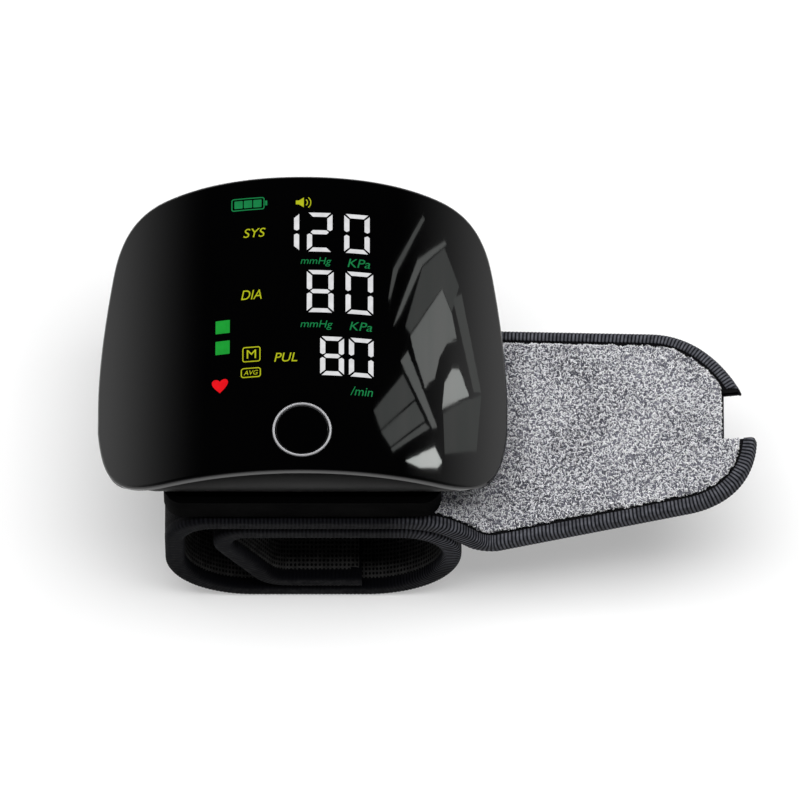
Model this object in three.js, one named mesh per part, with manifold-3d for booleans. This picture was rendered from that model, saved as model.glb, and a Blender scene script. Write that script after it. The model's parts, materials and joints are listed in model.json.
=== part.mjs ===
// Wrist blood pressure monitor: an arched housing with a crowned glossy panel, standing on its
// rolled-up cuff, with the cuff's tail lying out to the right.
// Millimetres, +Z up, +X to the right of the display, +Y from the start button to the display's top.
// The origin is on the flat underside of the cuff's loop, below the middle of the panel's width.

import * as THREE from 'three';
import { mergeVertices } from 'three/addons/utils/BufferGeometryUtils.js';
import Module from 'manifold-3d';

const { CubicBezierCurve, Vector2, Vector3 } = THREE;

const wasm = await Module();
wasm.setup();

// Clearances
const FIT = 0.3;                 // between rigid pieces that meet
const SLIP = 0.2;                // round a piece that sits in a hole
const PLY_GAP = 0.12;            // between the plies of the strap
const LAYER_GAP = 0.3;           // between the turns of the rolled strap

// Plies of the strap, from the outside in, and the tape folded over its edges
const COVER = 0.7;
const CURLER = 0.5;
const BLADDER = 0.8;
const LINING = 0.7;
const TAPE = 0.35;
const TAPE_LAP = 2.2;
const FACE_RAISE = 0.05;         // the cloth's faces stand this far above the tape
const BLADDER_MARGIN = 5;        // from the strap's edges to the air bladder and the curler

// The rolled loop, seen along the wrist; bend radii are at the middle of the strap
const LOOP_HEIGHT = 36.5;
const LOOP_RIGHT = 32.6;
const LEFT_TOP_BEND = 8;
const LEFT_FOOT_BEND = 15.8;
const RIGHT_TOP_BEND = 10.4;
const FLAP_FROM_LEFT = 9.9;      // from the loop's left wall to the inner flap
const FLAP_TOP_BEND = 5;
const FLAP_FOOT_BEND = 6;
const FLAP_LEAN = 61;            // degrees between the flap and the table
const INNER_END_X = 12;
const CUFF_PAST_NEAR = 0.8;      // beyond the base's near wall
const CUFF_FROM_FAR = 6.8;       // inside the base's far wall
const BEND_STEP = 15;            // degrees of bend in one facet

// The tail
const SHOULDER_TURN = 50;        // degrees the strap bends down over the loop's right end
const SHOULDER_RUN = 5.2;
const VALLEY_BEND = 5;
const TAIL_SLOPE = 13;           // degrees the tail rises
const TAIL_LENGTH = 54.4;
const TAIL_FROM_NEAR = 0.9;      // from the cuff's edges to the tail's root
const TAIL_FROM_FAR = 10.1;
const TAIL_NARROWING = 4.2;      // how far each edge moves in before the tip begins
const TIP_OFFSET = 4.4;          // from the tail's middle line to its tip, towards the near edge
const TIP_NEAR_LENGTH = 14.4;    // the tip's curve along the near edge
const TIP_FAR_LENGTH = 21.4;     // and along the far edge
const TIP_NEAR_LEAD = 0.55;      // shares of these lengths that the tip's curves keep to the edges' lines
const TIP_FAR_LEAD = 0.66;
const TIP_NEAR_ROUND = 0.64;     // shares of the half widths that they keep to the tip's line
const TIP_FAR_ROUND = 0.25;
const TIP_STEPS = 9;
const TAIL_ROOT_ROUND = 1.5;     // rounded end about which the tail bends
const TAPER_START = 12;          // the strap narrows from here, left of its shoulder
const NOTCH_WIDTH = 11.3;
const NOTCH_DEPTH = 7;
const PILE_RAISE = 0.35;         // the pile stands this far above the tape
const HOOK_PATCH = 0.8;
const HOOK_PATCH_START = 17;
const HOOK_PATCH_END = 44;
const HOOK_PATCH_MARGIN = 4.5;   // from the tail's edges

// Cuff mount plate, under the base
const PLATE = 0.8;
const PLATE_FROM_SIDE = 9.3;     // from the base's sides
const PLATE_FROM_NEAR = 10;      // from the cuff's edges
const PLATE_FROM_FAR = 4;
const PLATE_CORNER = 4;
const TONGUE_WIDTH = 4;
const TONGUE = 1.2;
const TONGUE_INSET = 3;

// Base cover
const BASE_WIDTH = 56.6;
const BASE_PAST_NEAR = 1.2;      // beyond the panel's near edge
const BASE_FROM_FAR = 3.5;       // inside the panel's far edge
const BASE_HEIGHT = 6.6;
const BASE_WALL = 1.5;
const BASE_FLOOR = 1.2;
const BASE_CORNER = 4;

// Panel, seen from above
const PANEL_WIDTH = 84.4;
const PANEL_LENGTH = 66.3;
const PANEL_NEAR_Y = -25;
const NEAR_CORNER_ACROSS = 14.2;
const NEAR_CORNER_ALONG = 16;
const SIDE_STRAIGHT = 6;
const SHOULDER_IN = 2.9;
const SHOULDER_DROP = 16.7;
const FAR_CORNER_ACROSS = 14.1;
const FAR_CORNER_DROP = 2.2;
const FAR_FLAT = 12;             // half of the nearly straight stretch of the far edge
const NEAR_CORNER_LEAD = 0.26;   // shares of these lengths that shape the outline's curves
const NEAR_CORNER_LEAN = 0.08;
const NEAR_CORNER_RISE = 0.3;
const SIDE_LEAD = 0.33;
const SHOULDER_LEAD = 0.48;
const FAR_CORNER_LEAD = 0.5;
const FAR_CORNER_RISE = 0.8;

// Panel and shell, seen along the wrist
const CROWN_RADIUS = 60;
const SHELL_SIDE = 3.48;         // depth of the shell beside the base, below its rim
const LENS = 1.6;
const LENS_EDGE = 0.8;           // height of the lens's bevelled edge
const LENS_EDGE_WIDTH = 0.6;
const END_BEVEL = 0.8;           // share of a bevel's height at a crowned sheet's two sides
const LENS_LINE = 0.4;           // the dark line between lens and shell
const RIM_INSET = 0.7;
const SHELL_WALL = 1.6;
const SHELL_FLOOR = 1.5;
const SHELL_ROUND = 1.5;
const CARRIER = 1.2;
const CARRIER_INSET = 3;
const ACROSS_STEPS = 18;

// Start button
const BUTTON_FROM_NEAR = 9.1;    // from the panel's near edge to the button's centre
const RING_RADIUS = 6;
const RING_BAND = 0.45;
const RING_RAISE = 0.08;
const BUTTON_SINK = 0.12;        // the button's face lies this far below the panel
const BUTTON_FLANGE = 1.05;      // flange beyond the button's side
const BUTTON_FLANGE_HEIGHT = 0.8;
const BUTTON_TRAVEL = 0.8;
const STEM_RADIUS = 2;
const STEM = 0.4;

// Case screws
const SCREW_FROM_SIDE = 6.3;     // from the base's walls
const SCREW_FROM_NEAR = 6.2;
const SCREW_FROM_FAR = 4.3;
const SCREW_RADIUS = 1.1;
const SCREW_HEAD_RADIUS = 2.2;
const SCREW_HEAD = 1.5;
const SCREW_LENGTH = 8.5;
const BOSS_RADIUS = 2.5;
const BOSS_HEIGHT = 4;

// Board and light frame
const BOARD = 1;
const BOARD_FROM_NEAR = 4.5;     // from the panel's edges
const BOARD_FROM_FAR = 4.8;
const BOARD_CORNER = 3;
const DISPLAY_ROOM = 0.5;        // between the diffuser's sides and the lens
const POST_RADIUS = 2;
const POST_ROOM = 1.5;           // between a board post and the cell
const POST_FROM_NEAR = 8.7;      // from the base's walls
const POST_FROM_FAR = 8.8;
const BOARD_SCREW_RADIUS = 0.9;
const BOARD_SCREW_HEAD_RADIUS = 1.8;
const BOARD_SCREW_HEAD = 1.2;
const BOARD_SCREW_LENGTH = 6;
const LIGHT_FRAME = 1.6;
const LIGHT_FRAME_LEFT = 18;
const LIGHT_FRAME_RIGHT = 16;
const LIGHT_FRAME_FROM_BUTTON = 7.3;
const LIGHT_FRAME_FROM_FAR = 5;  // from the panel's far edge
const DIGIT_WELL_LEFT = -3;
const DIGIT_WELL_RIGHT = 15;
const DIGIT_WELL_LENGTH = 10;
const DIGIT_ROWS = 3;
const FIRST_ROW = 9.4;           // from the light frame's near end to the middle of the first row
const LAST_ROW = 7.8;            // and from its far end to the middle of the last
const MARK_WELL_LEFT = -16.8;
const MARK_WELL_RIGHT = -4.5;
const DIFFUSER = 0.25;
const CHIP_SIZE = 10;
const CHIP = 1.4;
const CHIP_X = -6;
const CHIP_Y = 12;
const SWITCH_SIZE = 6;
const SWITCH_BODY = 2;
const PLUNGER_RADIUS = 1.6;

// Air system, beside and below the board
const SIDE_ROOM = 0.8;           // between the base's walls and the cell, and the same for pump and valve
const MOTOR_RADIUS = 4.9;
const MOTOR_LENGTH = 15.8;
const MOTOR_NECK = 2;
const HEAD_LENGTH = 10;
const HEAD_WIDTH = 9.8;
const HEAD_ROUND = 2;
const VALVE_LENGTH = 9;
const VALVE_WIDTH = 9.4;
const SPOUT_RADIUS = 1.3;
const SPOUT = 3;
const TUBE_WALL = 0.6;
const TUBE_SIDES = 10;
const SPOUT_GAP = 1.1;           // between the ends of the two spouts in a tube
const MANIFOLD_WIDTH = 6;
const MANIFOLD_HEIGHT = 5.4;
const MANIFOLD_LIFT = 1.3;       // over the base's floor, on its socket
const MANIFOLD_ROUND = 1;
const NOZZLE_RADIUS = 2;
const NOZZLE_BORE = 1;
const NOZZLE_FLANGE_RADIUS = 3.5;
const NOZZLE_REACH = 2.2;        // above the base's floor
const SOCKET_WALL = 1;
const SENSOR_SIZE = 7;
const SENSOR_PORT = 1.2;
const SENSOR_FROM_NOZZLE = 5.5;

// Power and sound
const CELL_RADIUS = 5;
const CELL_FROM_NEAR = 0.5;      // from the near screw's post
const CELL_FROM_FAR = 4;         // from the far screw's post
const CELL_CAP_RADIUS = 2;
const CELL_CAP = 1;
const CRADLE = 3;                // height of the ribs that hold the cell and the motor
const CRADLE_THICKNESS = 2;
const CRADLE_INSET = 5;          // from the ends of what it holds
const CHARGE_BOARD = 0.8;
const CHARGE_BOARD_WIDTH = 11;
const CHARGE_BOARD_LENGTH = 11;
const CHARGE_BOARD_ROOM = 0.5;   // beside a board post
const CHARGE_SOCKET_WIDTH = 9;
const CHARGE_SOCKET_HEIGHT = 3.2;
const CHARGE_SOCKET_LENGTH = 7.3;
const CHARGE_SOCKET_WALL = 0.4;
const CHARGE_SOCKET_ROUND = 1.2;
const SPEAKER_ROOM = 2.1;        // beside the charge board
const SPEAKER = 3;
const SPEAKER_RIM = 0.8;
const SOUND_SLOTS = 5;
const SOUND_SLOT_WIDTH = 0.9;
const SOUND_SLOT_HEIGHT = 3;
const SOUND_SLOT_PITCH = 1.7;

const ROUND_SIDES = 18;
const SMALL_SIDES = 16;          // of small round pieces
const SHAFT_SIDES = 12;          // of screw shafts and spouts
const CROWN_SIDES = 144;         // of a full round about the crown's axis
const SAME_PLACE = 0.05;         // points closer than this count as one
const PAST = 2;                  // how far a cutting solid runs past what it cuts

// Worked out from the sizes above
const BASE_HALF = BASE_WIDTH / 2;
const LOOP_LEFT = BASE_HALF;
const FLAP_LEFT = LOOP_LEFT - FLAP_FROM_LEFT;
const STRAP = COVER + CURLER + BLADDER + LINING + 3 * PLY_GAP;
const TAPE_INNER = STRAP / 2 + PLY_GAP;
const TAPE_OUTER = TAPE_INNER + TAPE;
const STRAP_FACE = TAPE_OUTER + FACE_RAISE;
const PITCH = 2 * STRAP_FACE + LAYER_GAP;
const TOP_TURN_Z = LOOP_HEIGHT - STRAP_FACE;
const SECOND_TURN_Z = TOP_TURN_Z - PITCH;
const PLATE_HALF_WIDTH = BASE_HALF - PLATE_FROM_SIDE;
const PLATE_Z = LOOP_HEIGHT + PLY_GAP;
const PANEL_FAR_Y = PANEL_NEAR_Y + PANEL_LENGTH;
const BASE_NEAR_Y = PANEL_NEAR_Y - BASE_PAST_NEAR;
const BASE_FAR_Y = PANEL_FAR_Y - BASE_FROM_FAR;
const CUFF_NEAR_Y = BASE_NEAR_Y - CUFF_PAST_NEAR;
const CUFF_FAR_Y = BASE_FAR_Y - CUFF_FROM_FAR;
const TAIL_ROOT_NEAR_Y = CUFF_NEAR_Y + TAIL_FROM_NEAR;
const TAIL_ROOT_FAR_Y = CUFF_FAR_Y - TAIL_FROM_FAR;
const TAIL_MIDDLE_Y = (TAIL_ROOT_NEAR_Y + TAIL_ROOT_FAR_Y) / 2;
const TAIL_TIP_Y = TAIL_MIDDLE_Y - TIP_OFFSET;
const PLATE_NEAR_Y = CUFF_NEAR_Y + PLATE_FROM_NEAR;
const PLATE_FAR_Y = CUFF_FAR_Y - PLATE_FROM_FAR;
const BASE_Z = PLATE_Z + PLATE + PLY_GAP;
const FLOOR_Z = BASE_Z + BASE_FLOOR;
const BASE_TOP_Z = BASE_Z + BASE_HEIGHT;
const SHELL_Z = BASE_TOP_Z + FIT;
const LENS_UNDER = CROWN_RADIUS - LENS;
const RIM_RADIUS = LENS_UNDER - LENS_LINE;
const LOBE_RADIUS = RIM_RADIUS - SHELL_SIDE;
const CROWN_AXIS_Z = SHELL_Z - Math.sqrt(LOBE_RADIUS ** 2 - BASE_HALF ** 2);
const CROWN_TOP_Z = CROWN_AXIS_Z + CROWN_RADIUS;
const CARRIER_TOP = LENS_UNDER - SLIP;
const BUTTON_Y = PANEL_NEAR_Y + BUTTON_FROM_NEAR;
const BUTTON_RADIUS = RING_RADIUS - RING_BAND - SLIP;
const FLANGE_RADIUS = BUTTON_RADIUS + BUTTON_FLANGE;
const FLANGE_TOP_Z = crownZ(LENS_UNDER, FLANGE_RADIUS) - FIT;
const FLANGE_Z = FLANGE_TOP_Z - BUTTON_FLANGE_HEIGHT;
const STEM_Z = FLANGE_Z - STEM;
const PLUNGER_TOP_Z = STEM_Z - BUTTON_TRAVEL - PLY_GAP;
const SCREW_X = BASE_HALF - SCREW_FROM_SIDE;
const SCREW_NEAR_Y = BASE_NEAR_Y + SCREW_FROM_NEAR;
const SCREW_FAR_Y = BASE_FAR_Y - SCREW_FROM_FAR;
const AIR_X = BASE_HALF - BASE_WALL - SIDE_ROOM - CELL_RADIUS;
const AIR_LINE_Z = FLOOR_Z + FIT + CELL_RADIUS;
const CELL_X = -AIR_X;
const CELL_NEAR_Y = SCREW_NEAR_Y + BOSS_RADIUS + CELL_FROM_NEAR;
const CELL_FAR_Y = SCREW_FAR_Y - BOSS_RADIUS - CELL_FROM_FAR;
const BOARD_HALF_WIDTH = AIR_X - CELL_RADIUS - FIT;
const BOARD_NEAR_Y = PANEL_NEAR_Y + BOARD_FROM_NEAR;
const BOARD_FAR_Y = PANEL_FAR_Y - BOARD_FROM_FAR;
const DIFFUSER_Z = crownZ(LENS_UNDER, LIGHT_FRAME_LEFT) - DISPLAY_ROOM - DIFFUSER;
const LIGHT_FRAME_Z = DIFFUSER_Z - SLIP - LIGHT_FRAME;
const LIGHT_FRAME_NEAR_Y = BUTTON_Y + LIGHT_FRAME_FROM_BUTTON;
const LIGHT_FRAME_FAR_Y = PANEL_FAR_Y - LIGHT_FRAME_FROM_FAR;
const BOARD_TOP_Z = LIGHT_FRAME_Z - SLIP;
const BOARD_Z = BOARD_TOP_Z - BOARD;
const POST_TOP_Z = BOARD_Z - SLIP;
const POST_X = AIR_X - CELL_RADIUS - POST_ROOM - POST_RADIUS;
const POST_NEAR_Y = BASE_NEAR_Y + POST_FROM_NEAR;
const POST_FAR_Y = BASE_FAR_Y - POST_FROM_FAR;
const MOTOR_FAR_Y = SCREW_FAR_Y - BOSS_RADIUS - 2 * FIT;
const MOTOR_NEAR_Y = MOTOR_FAR_Y - MOTOR_LENGTH;
const HEAD_FAR_Y = MOTOR_NEAR_Y - FIT;
const HEAD_NEAR_Y = HEAD_FAR_Y - HEAD_LENGTH;
const HEAD_SPOUT_Y = (HEAD_NEAR_Y + HEAD_FAR_Y) / 2;
const VALVE_NEAR_Y = SCREW_NEAR_Y + BOSS_RADIUS + 2 * FIT;
const VALVE_SPOUT_Y = VALVE_NEAR_Y + VALVE_LENGTH / 2;
const MANIFOLD_RIGHT = AIR_X - HEAD_WIDTH / 2 - 2 * SPOUT - SPOUT_GAP;
const MANIFOLD_LEFT = MANIFOLD_RIGHT - MANIFOLD_WIDTH;
const MANIFOLD_Z = FLOOR_Z + MANIFOLD_LIFT;
const MANIFOLD_TOP_Z = MANIFOLD_Z + MANIFOLD_HEIGHT;
const NOZZLE_X = (MANIFOLD_LEFT + MANIFOLD_RIGHT) / 2;
const NOZZLE_Y = (HEAD_SPOUT_Y + VALVE_SPOUT_Y) / 2;
const SENSOR_Y = NOZZLE_Y + SENSOR_FROM_NOZZLE;
const TUBE_BORE = SPOUT_RADIUS + PLY_GAP;
const CHARGE_BOARD_RIGHT = POST_X - POST_RADIUS - CHARGE_BOARD_ROOM;
const CHARGE_BOARD_LEFT = CHARGE_BOARD_RIGHT - CHARGE_BOARD_WIDTH;
const SPEAKER_RADIUS = (BOARD_Z - FLOOR_Z) / 2 - 2 * FIT;
const SPEAKER_X = CHARGE_BOARD_LEFT - SPEAKER_ROOM - SPEAKER_RADIUS;

// Height of a cylinder about the crown's axis, at a distance from the middle
function crownZ(radius, x) {
  return CROWN_AXIS_Z + Math.sqrt(radius * radius - x * x);
}

const degrees = THREE.MathUtils.degToRad;

// Solids: closed meshes that can be joined and cut

function solidOf(geometry) {
  const bare = geometry.clone();
  bare.deleteAttribute('normal');
  bare.deleteAttribute('uv');
  const merged = mergeVertices(bare, 1e-4);
  const vertProperties = new Float32Array(merged.attributes.position.array);
  const triVerts = new Uint32Array(merged.index.array);
  return new wasm.Manifold(new wasm.Mesh({ numProp: 3, vertProperties, triVerts }));
}

function geometryOf(solid) {
  const { vertProperties, triVerts } = solid.getMesh();
  const indexed = new THREE.BufferGeometry();
  indexed.setAttribute('position', new THREE.BufferAttribute(vertProperties, 3));
  indexed.setIndex(new THREE.BufferAttribute(triVerts, 1));
  const geometry = indexed.toNonIndexed();
  geometry.computeVertexNormals();
  return geometry;
}

function joined(first, ...others) {
  return others.reduce((sum, other) => sum.add(other), first);
}

function cutFrom(first, ...tools) {
  return tools.reduce((rest, tool) => rest.subtract(tool), first);
}

function block(x0, x1, y0, y1, z0, z1) {
  const box = new THREE.BoxGeometry(x1 - x0, y1 - y0, z1 - z0);
  return solidOf(box.translate((x0 + x1) / 2, (y0 + y1) / 2, (z0 + z1) / 2));
}

// An upright round bar
function rod(radius, x, y, z0, z1, sides = ROUND_SIDES) {
  const bar = new THREE.CylinderGeometry(radius, radius, z1 - z0, sides);
  return solidOf(bar.rotateX(Math.PI / 2).translate(x, y, (z0 + z1) / 2));
}

// A round bar along Y, and one along X
function rodAlongY(radius, x, z, y0, y1, sides = ROUND_SIDES) {
  const bar = new THREE.CylinderGeometry(radius, radius, y1 - y0, sides);
  return solidOf(bar.translate(x, (y0 + y1) / 2, z));
}

function rodAlongX(radius, y, z, x0, x1, sides = ROUND_SIDES) {
  const bar = new THREE.CylinderGeometry(radius, radius, x1 - x0, sides);
  return solidOf(bar.rotateZ(Math.PI / 2).translate((x0 + x1) / 2, y, z));
}

function roundedRect(x0, x1, y0, y1, radius) {
  const shape = new THREE.Shape();
  shape.moveTo(x0 + radius, y0);
  shape.lineTo(x1 - radius, y0);
  shape.absarc(x1 - radius, y0 + radius, radius, -Math.PI / 2, 0);
  shape.lineTo(x1, y1 - radius);
  shape.absarc(x1 - radius, y1 - radius, radius, 0, Math.PI / 2);
  shape.lineTo(x0 + radius, y1);
  shape.absarc(x0 + radius, y1 - radius, radius, Math.PI / 2, Math.PI);
  shape.lineTo(x0, y0 + radius);
  shape.absarc(x0 + radius, y0 + radius, radius, Math.PI, 1.5 * Math.PI);
  return shape;
}

// A flat plate of a shape in X and Y
function slab(shape, z0, z1, curveSegments = 6) {
  const plate = new THREE.ExtrudeGeometry(shape, { depth: z1 - z0, bevelEnabled: false, curveSegments });
  return solidOf(plate.translate(0, 0, z0));
}

// A solid through a row of sections; each section is a counter-clockwise ring of 2-D points
function loft(stations, sectionAt, place) {
  const sections = stations.map(sectionAt);
  const count = sections[0].length;
  const points = stations.flatMap((station, i) => sections[i].map((p) => place(station, p)));
  const triangles = [];
  for (let i = 0; i + 1 < stations.length; i += 1) {
    for (let k = 0; k < count; k += 1) {
      const here = i * count + k;
      const next = i * count + ((k + 1) % count);
      triangles.push([here, next, next + count], [here, next + count, here + count]);
    }
  }
  const lastRing = (stations.length - 1) * count;
  THREE.ShapeUtils.triangulateShape(sections[0], []).forEach(([a, b, c]) => triangles.push([c, b, a]));
  THREE.ShapeUtils.triangulateShape(sections.at(-1), []).forEach((face) => {
    triangles.push(face.map((corner) => corner + lastRing));
  });
  const volume = triangles.reduce((sum, [a, b, c]) => {
    return sum + points[a].dot(new Vector3().crossVectors(points[b], points[c]));
  }, 0);
  const faces = volume > 0 ? triangles : triangles.map(([a, b, c]) => [a, c, b]);
  const geometry = new THREE.BufferGeometry().setFromPoints(points);
  geometry.setIndex(faces.flat());
  return solidOf(geometry);
}

// Strap: a path of straight runs and bends in X and Z, walked like a pen's line

function strapPath(x, z, heading) {
  const stations = [{ x, z, heading, s: 0 }];
  const path = {
    stations,
    end: () => stations.at(-1),
    run(length) {
      const from = path.end();
      const along = { x: Math.cos(from.heading), z: Math.sin(from.heading) };
      stations.push({
        x: from.x + length * along.x,
        z: from.z + length * along.z,
        heading: from.heading,
        s: from.s + length,
      });
      return path;
    },
    // A positive angle bends to the left of the walk
    bend(radius, angle) {
      const from = path.end();
      const side = Math.sign(angle);
      const centre = {
        x: from.x - side * radius * Math.sin(from.heading),
        z: from.z + side * radius * Math.cos(from.heading),
      };
      const steps = Math.ceil(Math.abs(angle) / BEND_STEP);
      for (let i = 1; i <= steps; i += 1) {
        const turned = degrees(angle) * (i / steps);
        const facing = from.heading + turned;
        stations.push({
          x: centre.x + side * radius * Math.sin(facing),
          z: centre.z - side * radius * Math.cos(facing),
          heading: facing,
          s: from.s + radius * Math.abs(turned),
        });
      }
      return path;
    },
  };
  return path;
}

const rightBendX = LOOP_RIGHT - STRAP_FACE - RIGHT_TOP_BEND;
const rightBendZ = SECOND_TURN_Z - RIGHT_TOP_BEND;
const rightFootBend = rightBendZ - STRAP_FACE;
const leftBendX = STRAP_FACE + LEFT_TOP_BEND - LOOP_LEFT;
const leftFootX = STRAP_FACE + LEFT_FOOT_BEND - LOOP_LEFT;
const rightFootX = LOOP_RIGHT - STRAP_FACE - rightFootBend;
const flapBendX = STRAP_FACE + FLAP_TOP_BEND - FLAP_LEFT;

// From the top of the loop over its right shoulder, down into the valley where the tail begins
const rootStop = (180 / Math.PI) * ((TAIL_ROOT_ROUND + FIT) / VALLEY_BEND);
const shoulder = strapPath(rightBendX, TOP_TURN_Z, 0);
shoulder.bend(RIGHT_TOP_BEND + PITCH, -SHOULDER_TURN);
shoulder.run(SHOULDER_RUN);
shoulder.bend(VALLEY_BEND, SHOULDER_TURN + TAIL_SLOPE - rootStop);
const shoulderStations = [...shoulder.stations];
shoulder.bend(VALLEY_BEND, rootStop);
const tailPivot = shoulder.end();

// From the same place to the left, round the loop, under itself and down inside as a flap
const roll = strapPath(rightBendX, TOP_TURN_Z, Math.PI);
roll.run(rightBendX - leftBendX);
roll.bend(LEFT_TOP_BEND, 90);
roll.run(TOP_TURN_Z - LEFT_TOP_BEND - STRAP_FACE - LEFT_FOOT_BEND);
roll.bend(LEFT_FOOT_BEND, 90);
roll.run(rightFootX - leftFootX);
roll.bend(rightFootBend, 90);
roll.bend(RIGHT_TOP_BEND, 90);
const airStationCount = roll.stations.length;
roll.run(rightBendX - flapBendX);
roll.bend(FLAP_TOP_BEND, 180 - FLAP_LEAN);
const flapFootZ = STRAP_FACE + PITCH + FLAP_FOOT_BEND * (1 - Math.cos(degrees(FLAP_LEAN)));
roll.run((roll.end().z - flapFootZ) / Math.sin(degrees(FLAP_LEAN)));
roll.bend(FLAP_FOOT_BEND, FLAP_LEAN);
roll.run(INNER_END_X - roll.end().x);

// The whole strap that stays with the housing, from its end at the tail to its end inside the loop
const rollStations = roll.stations.map((station) => ({ ...station, reach: -station.s }));
const strapStations = [
  ...shoulderStations.slice(1).reverse().map((station) => ({
    ...station,
    heading: station.heading + Math.PI,
    reach: station.s,
  })),
  ...rollStations,
];

// The strap's near and far edges: it narrows towards the tail
function strapEdges(station) {
  const share = (station.reach + TAPER_START) / (tailPivot.s + TAPER_START);
  const taper = THREE.MathUtils.smoothstep(share, 0, 1);
  return {
    near: THREE.MathUtils.lerp(CUFF_NEAR_Y, TAIL_ROOT_NEAR_Y, taper),
    far: THREE.MathUtils.lerp(CUFF_FAR_Y, TAIL_ROOT_FAR_Y, taper),
  };
}

// A strip along the strap; its section is in Y and in the distance out from the strap's middle
function strip(stations, sectionAt) {
  return loft(stations, sectionAt, (station, p) => new Vector3(
    station.x + p.y * Math.sin(station.heading),
    p.x,
    station.z - p.y * Math.cos(station.heading),
  ));
}

function flatSection(y0, y1, d0, d1) {
  return [new Vector2(y0, d0), new Vector2(y1, d0), new Vector2(y1, d1), new Vector2(y0, d1)];
}

// A cloth whose face is raised between the tapes of its edges
function facedSection(y0, y1, back, underTape, face) {
  const step = TAPE_LAP - TAPE;
  const ring = [
    new Vector2(y0, back),
    new Vector2(y1, back),
    new Vector2(y1, underTape),
    new Vector2(y1 - step, underTape),
    new Vector2(y1 - step, face),
    new Vector2(y0 + step, face),
    new Vector2(y0 + step, underTape),
    new Vector2(y0, underTape),
  ];
  return face > back ? ring : ring.reverse();
}

// Tape folded over an edge; inward is +1 at the near edge and -1 at the far edge
function tapeSection(edge, inward) {
  const fold = edge + inward * TAPE;
  const lap = edge + inward * TAPE_LAP;
  const ring = [
    new Vector2(edge, -TAPE_OUTER),
    new Vector2(lap, -TAPE_OUTER),
    new Vector2(lap, -TAPE_INNER),
    new Vector2(fold, -TAPE_INNER),
    new Vector2(fold, TAPE_INNER),
    new Vector2(lap, TAPE_INNER),
    new Vector2(lap, TAPE_OUTER),
    new Vector2(edge, TAPE_OUTER),
  ];
  return inward > 0 ? ring : ring.reverse();
}

const clothInset = TAPE + PLY_GAP;

function makeCuffCover() {
  const cover = strip(strapStations, (station) => {
    const { near, far } = strapEdges(station);
    return facedSection(near + clothInset, far - clothInset, STRAP / 2 - COVER, STRAP / 2, STRAP_FACE);
  });
  return cutFrom(cover, rod(NOZZLE_RADIUS + FIT, NOZZLE_X, NOZZLE_Y, TOP_TURN_Z, PLATE_Z + PAST));
}

function makeCuffLining() {
  return strip(strapStations, (station) => {
    const { near, far } = strapEdges(station);
    return facedSection(near + clothInset, far - clothInset, LINING - STRAP / 2, -STRAP / 2, -STRAP_FACE);
  });
}

function makeCuffBinding(inward) {
  return strip(strapStations, (station) => {
    const { near, far } = strapEdges(station);
    return tapeSection(inward > 0 ? near : far, inward);
  });
}

// The curler and the bladder run from the top of the loop round to its second turn
const airStations = rollStations.slice(0, airStationCount);
const curlerOuter = STRAP / 2 - COVER - PLY_GAP;
const bladderOuter = curlerOuter - CURLER - PLY_GAP;

function airStrip(d0, d1) {
  return strip(airStations, (station) => {
    const { near, far } = strapEdges(station);
    return flatSection(near + BLADDER_MARGIN, far - BLADDER_MARGIN, d0, d1);
  });
}

function makeCurler() {
  const hole = rod(NOZZLE_FLANGE_RADIUS + FIT, NOZZLE_X, NOZZLE_Y, TOP_TURN_Z - PLY_GAP, PLATE_Z);
  return cutFrom(airStrip(curlerOuter - CURLER, curlerOuter), hole);
}

function makeBladder() {
  return airStrip(bladderOuter - BLADDER, bladderOuter);
}

function makeBladderNozzle() {
  const flangeZ = TOP_TURN_Z + curlerOuter - CURLER;
  const topZ = FLOOR_Z + NOZZLE_REACH;
  const nozzle = joined(
    rod(NOZZLE_FLANGE_RADIUS, NOZZLE_X, NOZZLE_Y, flangeZ, flangeZ + CURLER),
    rod(NOZZLE_RADIUS, NOZZLE_X, NOZZLE_Y, flangeZ, topZ),
  );
  return cutFrom(nozzle, rod(NOZZLE_BORE, NOZZLE_X, NOZZLE_Y, flangeZ - PAST, topZ + PAST));
}

// Tail, lying flat in its own frame: x along it from the bend, y across it, z out of the pile

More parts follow.
